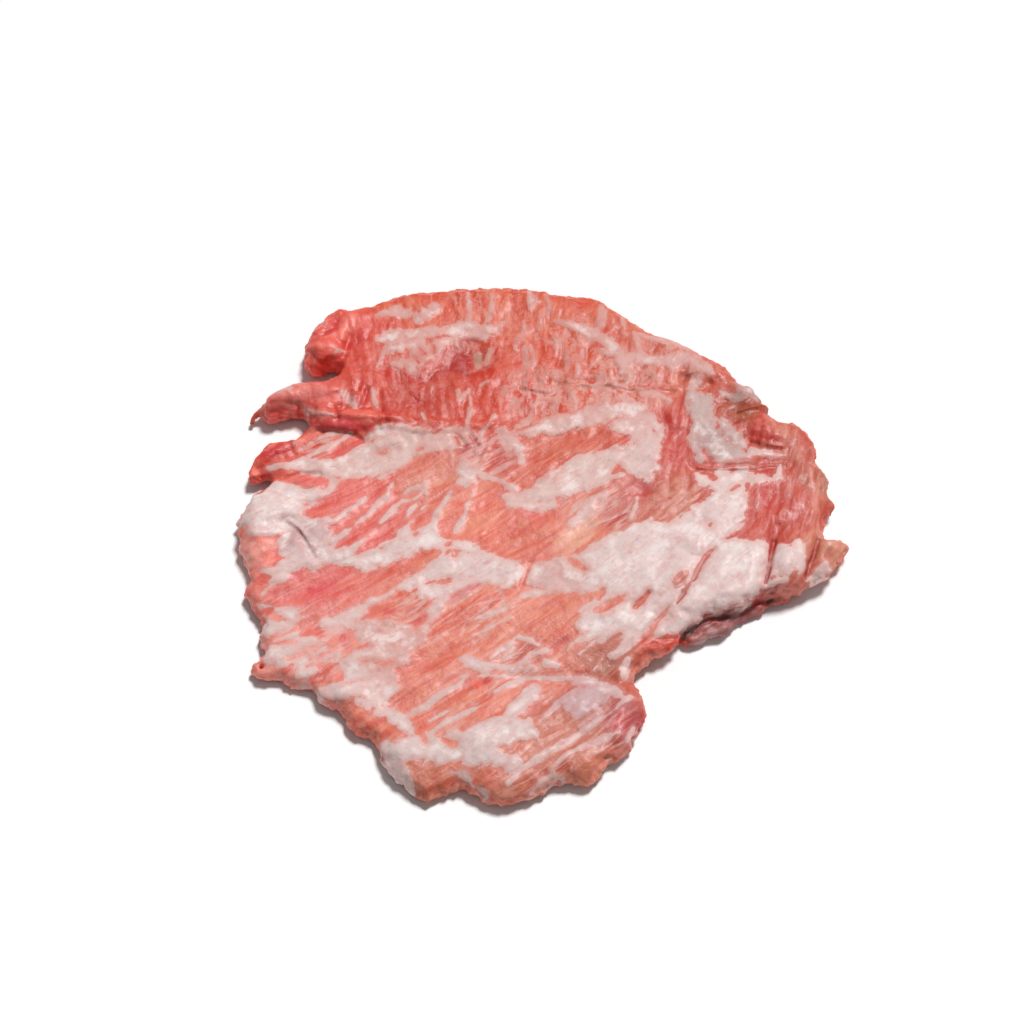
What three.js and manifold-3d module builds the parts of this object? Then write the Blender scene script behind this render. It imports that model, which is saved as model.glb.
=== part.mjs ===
// A raw pork secreto: a thin, fan-shaped muscle laid flat, with a folded edge, three fingers
// of flesh on its left and a ragged outline. It is one piece, so it is one solid.
// Millimetres, +Z up, +Y away from the viewer. The origin is on the surface that the meat lies
// on, under the middle of its outline.
import * as THREE from "three";
import { mergeVertices } from "three/addons/utils/BufferGeometryUtils.js";
import Module from "manifold-3d";

const wasm = await Module();
wasm.setup();

// The mean colour of the marbled meat, and its moist sheen.
const RAW_PORK = { color: 0xd9978f, roughness: 0.5, metalness: 0 };

// How finely the meat is meshed. The rings are rows of points that follow the outline inside it.
const OUTLINE_STEP = 2.1;
const TOP_STEP = 4.0;
const UNDER_STEP = 10;
const FEATURE_STEP = 3.4;
const TOP_RINGS = [1.0, 3.1];
const UNDER_RINGS = [1.3, 4.2];

// As shares of their steps: how far grid points are moved, and how near to others points may be.
const GRID_JITTER = 0.12;
const JITTER_SEEDS = [21, 22];
const GRID_SPACING = 0.62;
const FEATURE_SPACING = 0.55;

// As a share of a ring's inset: how far from the outline its points are at least. They keep a
// little more than that from each other.
const RING_SPACING = 0.9;
const RING_EXTRA = 0.1;

// Where the points inside the last ring start: those of the features as a share of its inset,
// those of the grid past it by a share of their step.
const FEATURE_CLEARANCE = 1.3;
const GRID_CLEARANCE = 0.5;

// Where the shoulders of a line are, as a share of its width.
const SHOULDER = 1.5;

// How the edge is rounded: the rim is the line where the top meets the underside. The top's
// rounding is a share of the thickness, up to a largest one.
const ROUNDING_SHARE = 0.55;
const TOP_ROUNDING = 6.8;
const UNDER_ROUNDING = 4.6;
const RIM_SHARE = 0.34;
const FOLD_RIM_SHARE = 0.6;
const FOLD_UNDER_ROUNDING = 10;
const FOLD_REACH = 9;

// The frayed fringe of the outline: coarse bites with fine ones in them.
const COARSE_FRAY = { size: 8.5, depth: 0.9, seed: 7 };
const FINE_FRAY = { size: 3.1, depth: 0.7, seed: 8 };

// The muscle bundles of the top. They run nearly away from the viewer in the upper flap and
// slant up to the right below it, each slant in degrees, changing by the millimetre across.
const BUNDLES = { width: 5, length: 26, height: 0.9, seed: 3 };
const FLAP_START_Y = 50;
const FLAP_SLANT = { middle: 88, change: -0.12, at: 0 };
const BODY_SLANT = { middle: 34, change: 0.08, at: -60 };

// The ripple of the tucked layer.
const RIPPLE = { width: 5, length: 4, height: 0.6, seed: 11 };

// How far each thickness station reaches, and the small weight that each has everywhere.
const STATION_REACH = 19;
const LEAST_WEIGHT = 1e-9;

// How wide the bell of a swelling is, as a share of its radii.
const SWELLING_WIDTH = 0.8;

// The outline, counter-clockwise from the deep notch at the lower right, in named stretches.
const outline = {
  foldedEdge: [[38, -74.3], [46, -67.6], [53.4, -63.6], [59, -56.8], [64, -51], [71, -47],
    [80.8, -45.4], [88, -40.8], [95, -38.2], [102.3, -36.2], [109, -34.6], [115.2, -31],
    [121.4, -28]],
  nose: [[126.8, -19], [131.4, -10.4], [127.4, -8], [121.2, -6.8]],
  rightEdge: [[123.6, 2.8], [127.4, 10.4], [125.4, 16], [125.4, 27], [121.6, 33.7],
    [121.6, 43.4], [114, 54.7], [105, 56.6]],
  shoulder: [[99.2, 68], [95.8, 76], [88.6, 77.6], [85.6, 85.4], [71, 96.4], [56.2, 104.6],
    [46, 110.4], [39.6, 116.6], [27.9, 126.8]],
  farEdge: [[8.3, 130.4], [-10, 134], [-32, 132.8], [-49, 131.2], [-67, 127.4], [-83, 119.8]],
  upperFinger: [[-92.4, 119], [-98.8, 113.4], [-106.8, 97], [-104.6, 84.8], [-98.5, 82],
    [-94.5, 84.6], [-90.5, 83.8]],
  middleFinger: [[-95.5, 78.8], [-109, 77.4], [-121, 69.2], [-124.8, 62.5], [-120.8, 56.2],
    [-106, 58.6]],
  lowerFinger: [[-102.6, 53], [-110.2, 46.4], [-119.2, 43.4], [-126.8, 32.2], [-127.4, 23.4],
    [-122, 22.4], [-117, 25]],
  leftEdge: [[-119.5, 20.8], [-125.4, 15.6], [-130, 4], [-129.4, -12], [-124, -26.2],
    [-125.8, -33.4], [-120.8, -43.4], [-117, -48.8], [-118.8, -54.8], [-115.2, -62]],
  ear: [[-118.4, -66.2], [-120.6, -70.6], [-118, -74.8], [-112, -76]],
  lowerLeftEdge: [[-107.2, -76], [-102.2, -79.4], [-94, -80.8], [-91.4, -86], [-83.4, -90.2],
    [-78, -100.2], [-68, -105], [-64.8, -113.4], [-57, -123.2], [-46.2, -132]],
  nearEdge: [[-32.2, -125.8], [-19.2, -133.8], [-3.4, -129.8], [8.4, -124.1], [19.6, -123.8],
    [26.6, -115.2], [34.2, -110.4]],
  lobe: [[39.2, -100.2], [43.2, -91], [40.6, -81.2]],
};

// The layer that is tucked under the folded edge and shows below it.
const tuckedLayer = [[50, -55], [57, -58.6], [63, -59.2], [70, -55.4], [76, -54.6], [81, -48.6],
  [87, -46], [92, -43.4], [96.5, -39.6], [104, -36], [109.5, -31], [104, -24], [90, -28],
  [75, -33], [60, -42]];
const TUCKED_THICKNESS = 6.2;
const TUCKED_LIFT = 0.2;
const TUCKED_ROUNDING = 4.8;

// How thick the meat is at places across it: [x, y, thickness].
const stations = [
  [-96, 100, 14], [-88, 112, 13], [-112, 67, 12.5], [-95, 68, 13.5], [-118, 35, 10.5],
  [-70, 106, 12.5], [-40, 116, 11.5], [-42, 82, 12], [0, 116, 10.5], [0, 92, 10.5],
  [40, 102, 10.5], [68, 88, 11.5], [84, 78, 11.5], [-72, 62, 13.5], [-40, 62, 12],
  [-70, 38, 10], [-100, 36, 9.5], [-118, 8, 13], [-104, -4, 11.5], [-40, 12, 10],
  [10, 42, 11], [10, 10, 10.5], [42, 52, 11.5], [-112, -30, 8.5], [-80, -28, 9.5],
  [-106, -60, 7.5], [-50, -38, 10], [-10, -38, 10], [-62, -74, 9], [-56, -108, 9],
  [-14, -102, 11], [20, -104, 9], [2, -72, 8.5], [34, -90, 9], [58, -8, 12.5], [80, -22, 15],
  [62, -42, 15.5], [102, -16, 15], [119, -12, 12], [94, 20, 12], [115, 20, 10], [96, 50, 12.5],
  [112, 45, 10.5], [70, 60, 11.5], [30, -52, 11.5], [26, -68, 8.5], [42, -60, 13],
];

// Rounded swellings of the top: middle, the two radii, the turn of the first one and the height.
const swellings = [
  { name: "knuckle of the upper finger", at: [-97, 92], radii: [8, 10], turn: 10, height: 1.4 },
  { name: "back of the upper finger", at: [-86, 108], radii: [9, 5], turn: 25, height: 1.0 },
  { name: "back of the middle finger", at: [-108, 67], radii: [12, 4], turn: 12, height: 0.8 },
  { name: "red lump by the lower finger", at: [-100, 18], radii: [7, 4], turn: -8, height: 1.2 },
  { name: "fat hump on the left", at: [-117, 5], radii: [11, 9], turn: 20, height: 1.8 },
  { name: "fat knob on the left edge", at: [-121, -8], radii: [4, 3], turn: -15, height: 1.2 },
  { name: "lean hump on the left", at: [-119, -17], radii: [6, 8], turn: 0, height: 1.0 },
  { name: "fat beside the crease", at: [-96, -6], radii: [4, 9], turn: -25, height: 1.0 },
  { name: "head of the fat band", at: [-68, 44], radii: [12, 5], turn: 8, height: 1.2 },
  { name: "lean knob on the right", at: [98, 46], radii: [5.5, 8], turn: 10, height: 2.2 },
  { name: "corner above the knob", at: [92, 69], radii: [5, 4], turn: 0, height: 1.2 },
  { name: "fat bulge by the nose", at: [104, -22], radii: [5, 9], turn: -12, height: 1.8 },
  { name: "nose", at: [121, -17], radii: [4, 8], turn: -25, height: 1.2 },
  { name: "pad of the near end", at: [-20, -107], radii: [15, 9], turn: 10, height: 1.8 },
  { name: "pad of the near left corner", at: [-57, -113], radii: [7, 8], turn: 20, height: 1.0 },
  { name: "edge of the lobe", at: [32, -96], radii: [5, 9], turn: -10, height: 0.9 },
  { name: "near right corner", at: [17, -117], radii: [9, 5], turn: 20, height: 1.0 },
  { name: "pad of the left corner", at: [-83, -84], radii: [9, 3.5], turn: -8, height: 1.3 },
  { name: "pad in the middle", at: [-66, -64], radii: [14, 8], turn: 20, height: 1.0 },
  { name: "white tip by the notch", at: [33, -75], radii: [2.6, 5], turn: 10, height: 1.2 },
  { name: "hollow in the upper flap", at: [-29, 89], radii: [6, 9], turn: 5, height: -2.4 },
  { name: "slope of the upper flap", at: [-42, 82], radii: [4, 10], turn: -20, height: -1.0 },
  { name: "hollow above the knob", at: [85, 57], radii: [4.5, 4.5], turn: 0, height: -1.8 },
  { name: "hollow in the fat band", at: [44, 15], radii: [4, 5], turn: 30, height: -1.2 },
  { name: "hollow by the notch", at: [24, -70], radii: [6, 6], turn: 0, height: -1.4 },
];

// Grooves and ridges of the top, each along a path. A ridge has a height, a crease a depth.
const lines = [
  { name: "roll along the seam", path: [[-100, 54], [-90, 52.6], [-80, 52], [-72.5, 52]],
    width: 3.4, height: 2.2 },
  { name: "end of the roll", path: [[-67.5, 52], [-58, 51.6], [-47, 51]], width: 3, height: 1 },
  { name: "crease across the roll", path: [[-72, 56], [-70, 52], [-69.5, 48]], width: 1.5,
    height: -1.4 },
  { name: "groove above the roll", path: [[-92, 57.6], [-84, 57], [-76, 56.6]], width: 1.6,
    height: -1.5 },
  { name: "groove under the roll", path: [[-97, 49.5], [-88, 48.6], [-81, 47.2], [-78, 44]],
    width: 1.7, height: -2.2 },
  { name: "line of pits", path: [[-8, 71], [3, 69], [14, 73], [28, 73], [40, 70.5], [52, 71],
    [61, 70.5]], width: 1.8, height: -1.4 },
  { name: "pit near the far edge", path: [[63, 77], [68, 76.5]], width: 2, height: -1.8 },
  { name: "pits inside it", path: [[71, 71], [75.5, 73]], width: 1.8, height: -1.6 },
  { name: "crease in the left fat", path: [[-108, -1.5], [-103, -5], [-99, -11], [-95.5, -17]],
    width: 1.6, height: -2.2 },
  { name: "crease on the right", path: [[68, 26.5], [80, 26], [92, 27], [98, 29], [106, 29.5]],
    width: 1.7, height: -2.0 },
  { name: "crease under the knob", path: [[92, 42], [97, 38.4], [104.5, 38]], width: 1.8,
    height: -2.2 },
  { name: "crease above the knob", path: [[88, 57.5], [94, 59.5], [99, 62]], width: 1.8,
    height: -1.8 },
  { name: "crease left of the bulge", path: [[100, -4], [98, -12], [97, -20], [94, -27],
    [92.5, -34]], width: 1.7, height: -2.2 },
  { name: "crease at the nose", path: [[117.5, -11], [115, -19], [112, -27], [108, -32]],
    width: 1.8, height: -2.2 },
  { name: "slit in the fat", path: [[71.5, -17], [66, -24], [63, -32], [60, -39]], width: 1.7,
    height: -1.3 },
  { name: "short slit in the fat", path: [[44, -38.5], [38, -45]], width: 1.7, height: -1.1 },
  { name: "groove above the fold", path: [[30, -71], [35, -63.5], [43, -56], [52, -48]],
    width: 2, height: -1.5 },
  { name: "edge of the upper finger", path: [[-91, 87], [-87, 94], [-88, 103], [-92, 110]],
    width: 2, height: -1.1 },
  { name: "fold of the middle finger", path: [[-114, 71], [-106, 66.5], [-96, 64.5]], width: 1.8,
    height: -0.8 },
  { name: "valley over the notch", path: [[35, -79.5], [22, -78], [6, -77.5], [-10, -78]],
    width: 2.4, height: -1.2 },
  { name: "groove of the lower finger", path: [[-119, 31], [-111, 31.5], [-105, 36],
    [-98, 42]], width: 1.8, height: -1.3 },
  { name: "groove of the red lump", path: [[-110, 21.5], [-104, 24], [-97, 22.5]], width: 1.6,
    height: -1.2 },
];

// The seam where the upper flap ends over the body. The flap stands above it at the left, and
// to the right the two run into each other.
const seam = [[-102, 50], [-92, 48.6], [-82, 47], [-72, 47.5], [-62, 48.5], [-50, 47.5]];
const SEAM_STEP = 1.7;
const SEAM_WIDTH = 1.5;
const SEAM_REACH = 12;
const SEAM_END_X = -52;
const SEAM_FULL_X = -85;

// The thin tail at the tip of the middle finger, as [x, y, z] along its middle. Its ends are
// pointed by a share of their radius.
const tail = { path: [[-120, 64, 5], [-124.6, 62, 4.6], [-126.8, 59.8, 3.6],
  [-128.2, 57.4, 2.2]], radii: [2.4, 1.1], steps: 9, sides: 8, point: 0.6 };

// The small slanting hole through the ear at the lower left. It is cut taller than the meat.
const earHole = { at: [-115.4, -69.9], radii: [1.6, 1.1], turn: -30, sides: 12, height: 30 };

// Large odd numbers that mix a place on a grid and a seed into a random whole number.
const MIXERS = { i: 374761393, j: 668265263, seed: 2147483647, last: 1274126177 };
const LARGEST = 2 ** 32 - 1;

// Seeded noise: a value for each whole step of a grid, blended smoothly between them.
function gridValue(i, j, seed) {
  let h = Math.imul(i, MIXERS.i) + Math.imul(j, MIXERS.j) + Math.imul(seed, MIXERS.seed);
  h = Math.imul(h ^ (h >>> 13), MIXERS.last);
  return ((h ^ (h >>> 16)) >>> 0) / LARGEST;
}

function noise(x, y, seed) {
  const [i, j] = [Math.floor(x), Math.floor(y)];
  const [u, v] = [THREE.MathUtils.smootherstep(x - i, 0, 1),
    THREE.MathUtils.smootherstep(y - j, 0, 1)];
  const near = THREE.MathUtils.lerp(gridValue(i, j, seed), gridValue(i + 1, j, seed), u);
  const far = THREE.MathUtils.lerp(gridValue(i, j + 1, seed), gridValue(i + 1, j + 1, seed), u);
  return 2 * THREE.MathUtils.lerp(near, far, v) - 1;
}

// Points along a smooth curve through the knots, about a step apart.
function along(knots, step, closed = false) {
  const points = knots.map(([x, y, z = 0]) => new THREE.Vector3(x, y, z));
  const curve = new THREE.CatmullRomCurve3(points, closed, "centripetal");
  const count = Math.max(2, Math.round(curve.getLength() / step));
  const spaced = curve.getSpacedPoints(count);
  return closed ? spaced.slice(0, -1) : spaced;
}

function nearestOnSegment(x, y, a, b) {
  const [dx, dy] = [b.x - a.x, b.y - a.y];
  const t = THREE.MathUtils.clamp(((x - a.x) * dx + (y - a.y) * dy) / (dx * dx + dy * dy), 0, 1);
  const [ox, oy] = [x - a.x - t * dx, y - a.y - t * dy];
  return { distance: Math.hypot(ox, oy), side: Math.sign(dx * oy - dy * ox) };
}

// The nearest distance to a path, and on which side of it the point lies: +1 is its left.
function nearestOnPath(x, y, path, closed = false) {
  let best = { distance: Infinity, side: 1 };
  const last = closed ? path.length : path.length - 1;
  for (let i = 0; i < last; i++) {
    const found = nearestOnSegment(x, y, path[i], path[(i + 1) % path.length]);
    if (found.distance < best.distance) best = found;
  }
  return best;
}

function isInside(x, y, loop) {
  let inside = false;
  for (let i = 0, j = loop.length - 1; i < loop.length; j = i++) {
    const [a, b] = [loop[i], loop[j]];
    if (a.y > y !== b.y > y && x < ((b.x - a.x) * (y - a.y)) / (b.y - a.y) + a.x) inside = !inside;
  }
  return inside;
}

// A bell that is 1 at 0 and fades out at about two widths.
const bell = (distance, width) => Math.exp(-0.5 * (distance / width) ** 2);

function stationThickness(x, y) {
  let [sum, weights] = [0, 0];
  for (const [sx, sy, thickness] of stations) {
    const weight = bell(Math.hypot(x - sx, y - sy), STATION_REACH) + LEAST_WEIGHT;
    sum += weight * thickness;
    weights += weight;
  }
  return sum / weights;
}

function swellingHeight(x, y, { at, radii, turn, height }) {
  const angle = THREE.MathUtils.degToRad(turn);
  const [dx, dy] = [x - at[0], y - at[1]];
  const u = (dx * Math.cos(angle) + dy * Math.sin(angle)) / radii[0];
  const v = (dy * Math.cos(angle) - dx * Math.sin(angle)) / radii[1];
  return height * bell(Math.hypot(u, v), SWELLING_WIDTH);
}

const linePaths = lines.map((line) => ({ ...line, points: along(line.path, FEATURE_STEP) }));
const seamPoints = along(seam, FEATURE_STEP);
const foldPoints = along(outline.foldedEdge.slice(2), FEATURE_STEP);

function seamHeight(x, y) {
  const { distance, side } = nearestOnPath(x, y, seamPoints);
  const fade = THREE.MathUtils.smoothstep(SEAM_END_X - x, 0, SEAM_END_X - SEAM_FULL_X);
  const rise = Math.min(1, distance / SEAM_WIDTH) * Math.exp(-distance / SEAM_REACH);
  return SEAM_STEP * fade * side * rise;
}

function bundleHeight(x, y) {
  const { middle, change, at } = y > FLAP_START_Y ? FLAP_SLANT : BODY_SLANT;
  const slant = THREE.MathUtils.degToRad(middle + change * (x - at));
  const lengthwise = x * Math.cos(slant) + y * Math.sin(slant);
  const across = y * Math.cos(slant) - x * Math.sin(slant);
  const { width, length, height, seed } = BUNDLES;
  return 0.5 * height * noise(across / width, lengthwise / length, seed);
}

function relief(x, y) {
  let height = seamHeight(x, y) + bundleHeight(x, y);
  for (const swelling of swellings) height += swellingHeight(x, y, swelling);
  for (const { points, width, height: rise } of linePaths)
    height += rise * bell(nearestOnPath(x, y, points).distance, width);
  return height;
}

// A quarter ellipse: 0 at the rim, 1 a rounding further in.
const rounded = (distance, rounding) =>
  Math.sqrt(1 - (1 - Math.min(distance / rounding, 1)) ** 2);

// The meat's top, rim and underside at a place that is a distance in from the outline.
const meat = {
  foldShare: (x, y) => bell(nearestOnPath(x, y, foldPoints).distance, FOLD_REACH),
  rim(x, y) {
    const share = THREE.MathUtils.lerp(RIM_SHARE, FOLD_RIM_SHARE, this.foldShare(x, y));
    return share * stationThickness(x, y);
  },
  top(x, y, distance) {
    const rim = this.rim(x, y);
    const thickness = stationThickness(x, y);
    const full = thickness + relief(x, y);
    const rounding = Math.min(TOP_ROUNDING, ROUNDING_SHARE * thickness);
    return rim + (full - rim) * rounded(distance, rounding);
  },
  under(x, y, distance) {
    const fold = this.foldShare(x, y);
    const rounding = THREE.MathUtils.lerp(UNDER_ROUNDING, FOLD_UNDER_ROUNDING, fold);
    return this.rim(x, y) * (1 - rounded(distance, rounding));
  },
};

const tucked = {
  rim: () => TUCKED_LIFT + RIM_SHARE * TUCKED_THICKNESS,
  top(x, y, distance) {
    const rim = this.rim();
    const ripple = RIPPLE.height * noise(x / RIPPLE.width, y / RIPPLE.length, RIPPLE.seed);
    return rim + (TUCKED_THICKNESS + ripple - rim) * rounded(distance, TUCKED_ROUNDING);
  },
  under(x, y, distance) {
    return TUCKED_LIFT + (this.rim() - TUCKED_LIFT) * (1 - rounded(distance, UNDER_ROUNDING));
  },
};

// A counter-clockwise loop with each point moved inwards by its own inset.
function insetLoop(loop, insetAt) {
  return loop.map((point, i) => {
    const before = loop.at(i - 1);
    const after = loop[(i + 1) % loop.length];
    const inward = new THREE.Vector3(before.y - after.y, after.x - before.x, 0).normalize();
    return point.clone().addScaledVector(inward, insetAt(point));
  });
}

// The outline as points, with small bites taken out of it by noise so that it looks torn.
function frayedLoop(knots, step) {
  const bite = ({ x, y }, { size, depth, seed }) =>
    depth * (0.5 + 0.5 * noise(x / size, y / size, seed));
  return insetLoop(along(knots, step, true),
    (point) => bite(point, COARSE_FRAY) + bite(point, FINE_FRAY));
}

// Adds candidates that are inside the loop, far enough from it and from what is there already.
function addPoints(points, candidates, loop, clearance, spacing) {
  for (const p of candidates) {
    if (!isInside(p.x, p.y, loop)) continue;
    if (nearestOnPath(p.x, p.y, loop, true).distance < clearance) continue;
    if (points.some((q) => Math.hypot(p.x - q.x, p.y - q.y) < spacing)) continue;
    points.push(p);
  }
}

// A hexagonal grid over the loop, each point moved a little so that no four lie on a circle.
function hexGrid(loop, step) {
  const box = new THREE.Box3().setFromPoints(loop);
  const rise = (step * Math.sqrt(3)) / 2;
  const found = [];
  for (let j = 0, y = box.min.y; y < box.max.y; j++, y += rise)
    for (let i = 0, x = box.min.x + (j % 2) * (step / 2); x < box.max.x; i++, x += step)
      found.push(new THREE.Vector3(x, y, 0).add(new THREE.Vector3(...JITTER_SEEDS.map(
        (seed) => GRID_JITTER * step * (gridValue(i, j, seed) - 0.5)), 0)));
  return found;
}

// Points on a path's middle and on both its shoulders, so that the mesh follows a groove.
function featurePoints({ points, width }) {
  const shoulders = points.slice(1).flatMap((point, i) => {
    const across = new THREE.Vector3(points[i].y - point.y, point.x - points[i].x, 0);
    across.setLength(SHOULDER * width);
    return [point.clone().add(across), point.clone().sub(across)];
  });
  return [...points, ...shoulders];
}

// How far off the triangle lies that the meshing starts from.
const FAR = 5000;

function circleOf(points, corners) {
  const [a, b, c] = corners.map((i) => points[i]);
  const d = 2 * (a.x * (b.y - c.y) + b.x * (c.y - a.y) + c.x * (a.y - b.y));
  const [aa, bb, cc] = [a, b, c].map((p) => p.x * p.x + p.y * p.y);
  const x = (aa * (b.y - c.y) + bb * (c.y - a.y) + cc * (a.y - b.y)) / d;
  const y = (aa * (c.x - b.x) + bb * (a.x - c.x) + cc * (b.x - a.x)) / d;
  return { corners, x, y, radius2: (a.x - x) ** 2 + (a.y - y) ** 2 };
}

// Delaunay triangles, counter-clockwise, by adding one point at a time inside a far triangle.
function triangulate(points) {
  const count = points.length;
  const all = [...points, new THREE.Vector3(-FAR, -FAR, 0), new THREE.Vector3(FAR, -FAR, 0),
    new THREE.Vector3(0, FAR, 0)];
  let triangles = [circleOf(all, [count, count + 1, count + 2])];
  for (let i = 0; i < count; i++) {
    const { x, y } = all[i];
    const rim = new Map();
    const kept = [];
    for (const t of triangles) {
      if ((x - t.x) ** 2 + (y - t.y) ** 2 >= t.radius2) {
        kept.push(t);
        continue;
      }
      t.corners.forEach((from, k) => {
        const to = t.corners[(k + 1) % 3];
        if (!rim.delete(`${to},${from}`)) rim.set(`${from},${to}`, [from, to]);
      });
    }
    for (const [from, to] of rim.values()) kept.push(circleOf(all, [from, to, i]));
    triangles = kept;
  }
  return triangles.map((t) => t.corners).filter((corners) => corners.every((i) => i < count));
}

function trianglesInside(points, loop) {
  return triangulate(points).filter(([a, b, c]) => {
    const x = (points[a].x + points[b].x + points[c].x) / 3;
    const y = (points[a].y + points[b].y + points[c].y) / 3;
    return isInside(x, y, loop);
  });
}

// A closed slab over a loop: a top and an underside that share the rim.
function slab(loop, form, topStep, underStep, features) {
  const rims = loop.length;
  const gather = (rings, step, extras) => {
    const points = [...loop];
    for (const inset of rings)
      addPoints(points, insetLoop(loop, () => inset), loop, RING_SPACING * inset,
        RING_SPACING * inset + RING_EXTRA);
    const last = rings.at(-1);
    addPoints(points, extras, loop, FEATURE_CLEARANCE * last, FEATURE_SPACING * FEATURE_STEP);
    addPoints(points, hexGrid(loop, step), loop, last + GRID_CLEARANCE * step,
      GRID_SPACING * step);
    return points;
  };
  const topPoints = gather(TOP_RINGS, topStep, features);
  const underPoints = gather(UNDER_RINGS, underStep, []);
  const height = ({ x, y }, i, side) =>
    i < rims ? form.rim(x, y) : form[side](x, y, nearestOnPath(x, y, loop, true).distance);
  const positions = [
    ...topPoints.map((p, i) => [p.x, p.y, height(p, i, "top")]),
    ...underPoints.slice(rims).map((p, i) => [p.x, p.y, height(p, i + rims, "under")]),
  ];
  const underIndex = (i) => (i < rims ? i : i - rims + topPoints.length);
  const faces = [
    ...trianglesInside(topPoints, loop),
    ...trianglesInside(underPoints, loop).map(([a, b, c]) => [a, c, b].map(underIndex)),
  ];
  return solidOf(positions.flat(), faces.flat());
}

function solidOf(positions, faces) {
  return new wasm.Manifold(new wasm.Mesh({
    numProp: 3,
    vertProperties: new Float32Array(positions),
    triVerts: new Uint32Array(faces),
  }));
}

// A tapered strand with round ends along a smooth path.
function strand({ path, radii, steps, sides, point }) {
  const curve = new THREE.CatmullRomCurve3(path.map((p) => new THREE.Vector3(...p)));
  const frames = curve.computeFrenetFrames(steps);
  const positions = [];
  for (let i = 0; i <= steps; i++) {
    const t = i / steps;
    const radius = THREE.MathUtils.lerp(radii[0], radii[1], t);
    const middle = curve.getPoint(t);
    for (let k = 0; k < sides; k++) {
      const angle = (2 * Math.PI * k) / sides;
      positions.push(middle.clone()
        .addScaledVector(frames.normals[i], radius * Math.cos(angle))
        .addScaledVector(frames.binormals[i], radius * Math.sin(angle)));
    }
  }
  const ends = [curve.getPoint(0).addScaledVector(frames.tangents[0], -point * radii[0]),
    curve.getPoint(1).addScaledVector(frames.tangents[steps], point * radii[1])];
  const first = positions.length;
  positions.push(...ends);
  const faces = [];
  for (let k = 0; k < sides; k++) {
    const next = (k + 1) % sides;
    faces.push(first, next, k);
    faces.push(first + 1, steps * sides + k, steps * sides + next);
    for (let i = 0; i < steps; i++) {
      const [a, b] = [i * sides + k, i * sides + next];
      faces.push(a, b, b + sides, a, b + sides, a + sides);
    }
  }
  return solidOf(positions.flatMap((p) => p.toArray()), faces);
}

// An upright rod with an oval section, which cuts a hole from top to bottom.
function ovalRod({ at, radii, turn, sides, height }) {
  const rod = new THREE.CylinderGeometry(1, 1, height, sides)
    .rotateX(0.5 * Math.PI)
    .scale(...radii, 1)
    .rotateZ(THREE.MathUtils.degToRad(turn))
    .translate(...at, 0);
  rod.deleteAttribute("normal");
  rod.deleteAttribute("uv");
  const merged = mergeVertices(rod);
  return solidOf(merged.attributes.position.array, merged.index.array);
}

function geometryOf(solid) {
  const { numProp, vertProperties, triVerts } = solid.getMesh();
  const geometry = new THREE.BufferGeometry();
  geometry.setAttribute("position", new THREE.BufferAttribute(vertProperties, numProp));
  geometry.setIndex(new THREE.BufferAttribute(triVerts, 1));
  geometry.computeVertexNormals();
  return geometry;
}

const mainLoop = frayedLoop(Object.values(outline).flat(), OUTLINE_STEP);
const tuckedLoop = frayedLoop(tuckedLayer, OUTLINE_STEP);
const features = [...linePaths, { points: seamPoints, width: SEAM_WIDTH }].flatMap(featurePoints);

let secreto = slab(mainLoop, meat, TOP_STEP, UNDER_STEP, features);
secreto = secreto.add(slab(tuckedLoop, tucked, TOP_STEP, UNDER_STEP, []));
secreto = secreto.add(strand(tail)).subtract(ovalRod(earHole));

// The origin goes under the middle of the box round it.
const { min, max } = secreto.boundingBox();
secreto = secreto.translate([-0.5 * (min[0] + max[0]), -0.5 * (min[1] + max[1]), -min[2]]);

const rawPork = new THREE.MeshStandardMaterial(RAW_PORK);
const mesh = new THREE.Mesh(geometryOf(secreto), rawPork);
mesh.name = "secreto";

const group = new THREE.Group();
group.add(mesh);
export default group;
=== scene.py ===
"""Looks of a raw pork secreto: a thin marbled flat cut, laid on a pale floor.

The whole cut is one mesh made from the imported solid. The marbling is drawn as strokes of fat and
of lean, seen from above, and both the relief and the colours follow it. Lengths named here are in
millimetres unless their comment says metres, and MM turns them into Blender's metres.
"""

import bpy
import math
import numpy as np
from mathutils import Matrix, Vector


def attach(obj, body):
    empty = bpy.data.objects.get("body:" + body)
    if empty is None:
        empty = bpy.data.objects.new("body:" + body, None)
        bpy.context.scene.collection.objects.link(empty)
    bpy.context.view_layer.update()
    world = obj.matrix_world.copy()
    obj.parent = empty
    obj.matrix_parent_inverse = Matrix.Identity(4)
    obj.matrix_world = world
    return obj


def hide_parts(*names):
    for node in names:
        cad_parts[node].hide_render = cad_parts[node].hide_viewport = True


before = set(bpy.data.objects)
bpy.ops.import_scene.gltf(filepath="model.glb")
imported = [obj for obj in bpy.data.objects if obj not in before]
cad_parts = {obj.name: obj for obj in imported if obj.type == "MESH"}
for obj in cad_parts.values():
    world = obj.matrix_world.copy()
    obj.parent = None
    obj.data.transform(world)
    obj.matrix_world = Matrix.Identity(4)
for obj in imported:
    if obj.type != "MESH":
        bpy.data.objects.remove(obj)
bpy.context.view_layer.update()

MM = 0.001
NODE = "secreto"

# Camera: the point it looks at, its distance and its height above the table.
AIM = (-12.88, 11.07, 0)
CAMERA_DISTANCE = 985
CAMERA_ELEVATION = 55
LENS = 80
SENSOR = 36

# Light from the room and from the sun, whose size is in degrees, and half the floor in metres.
ROOM_LIGHT = 0.2
SUN_LIGHT = 3.2
SUN_SIZE = 14
SUN_TOWARDS = (-0.32, -0.52, -1.0)
FLOOR_HALF = 3.0
FLOOR_WHITE = 0.95

# How much light a white surface gives back, how much of what is seen is gloss, and the darkest
# and brightest that a surface's own colour may be.
LIGHT = 1.08
GLOSS = 0.03
OWN_LIMITS = (0.005, 0.95)

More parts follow.
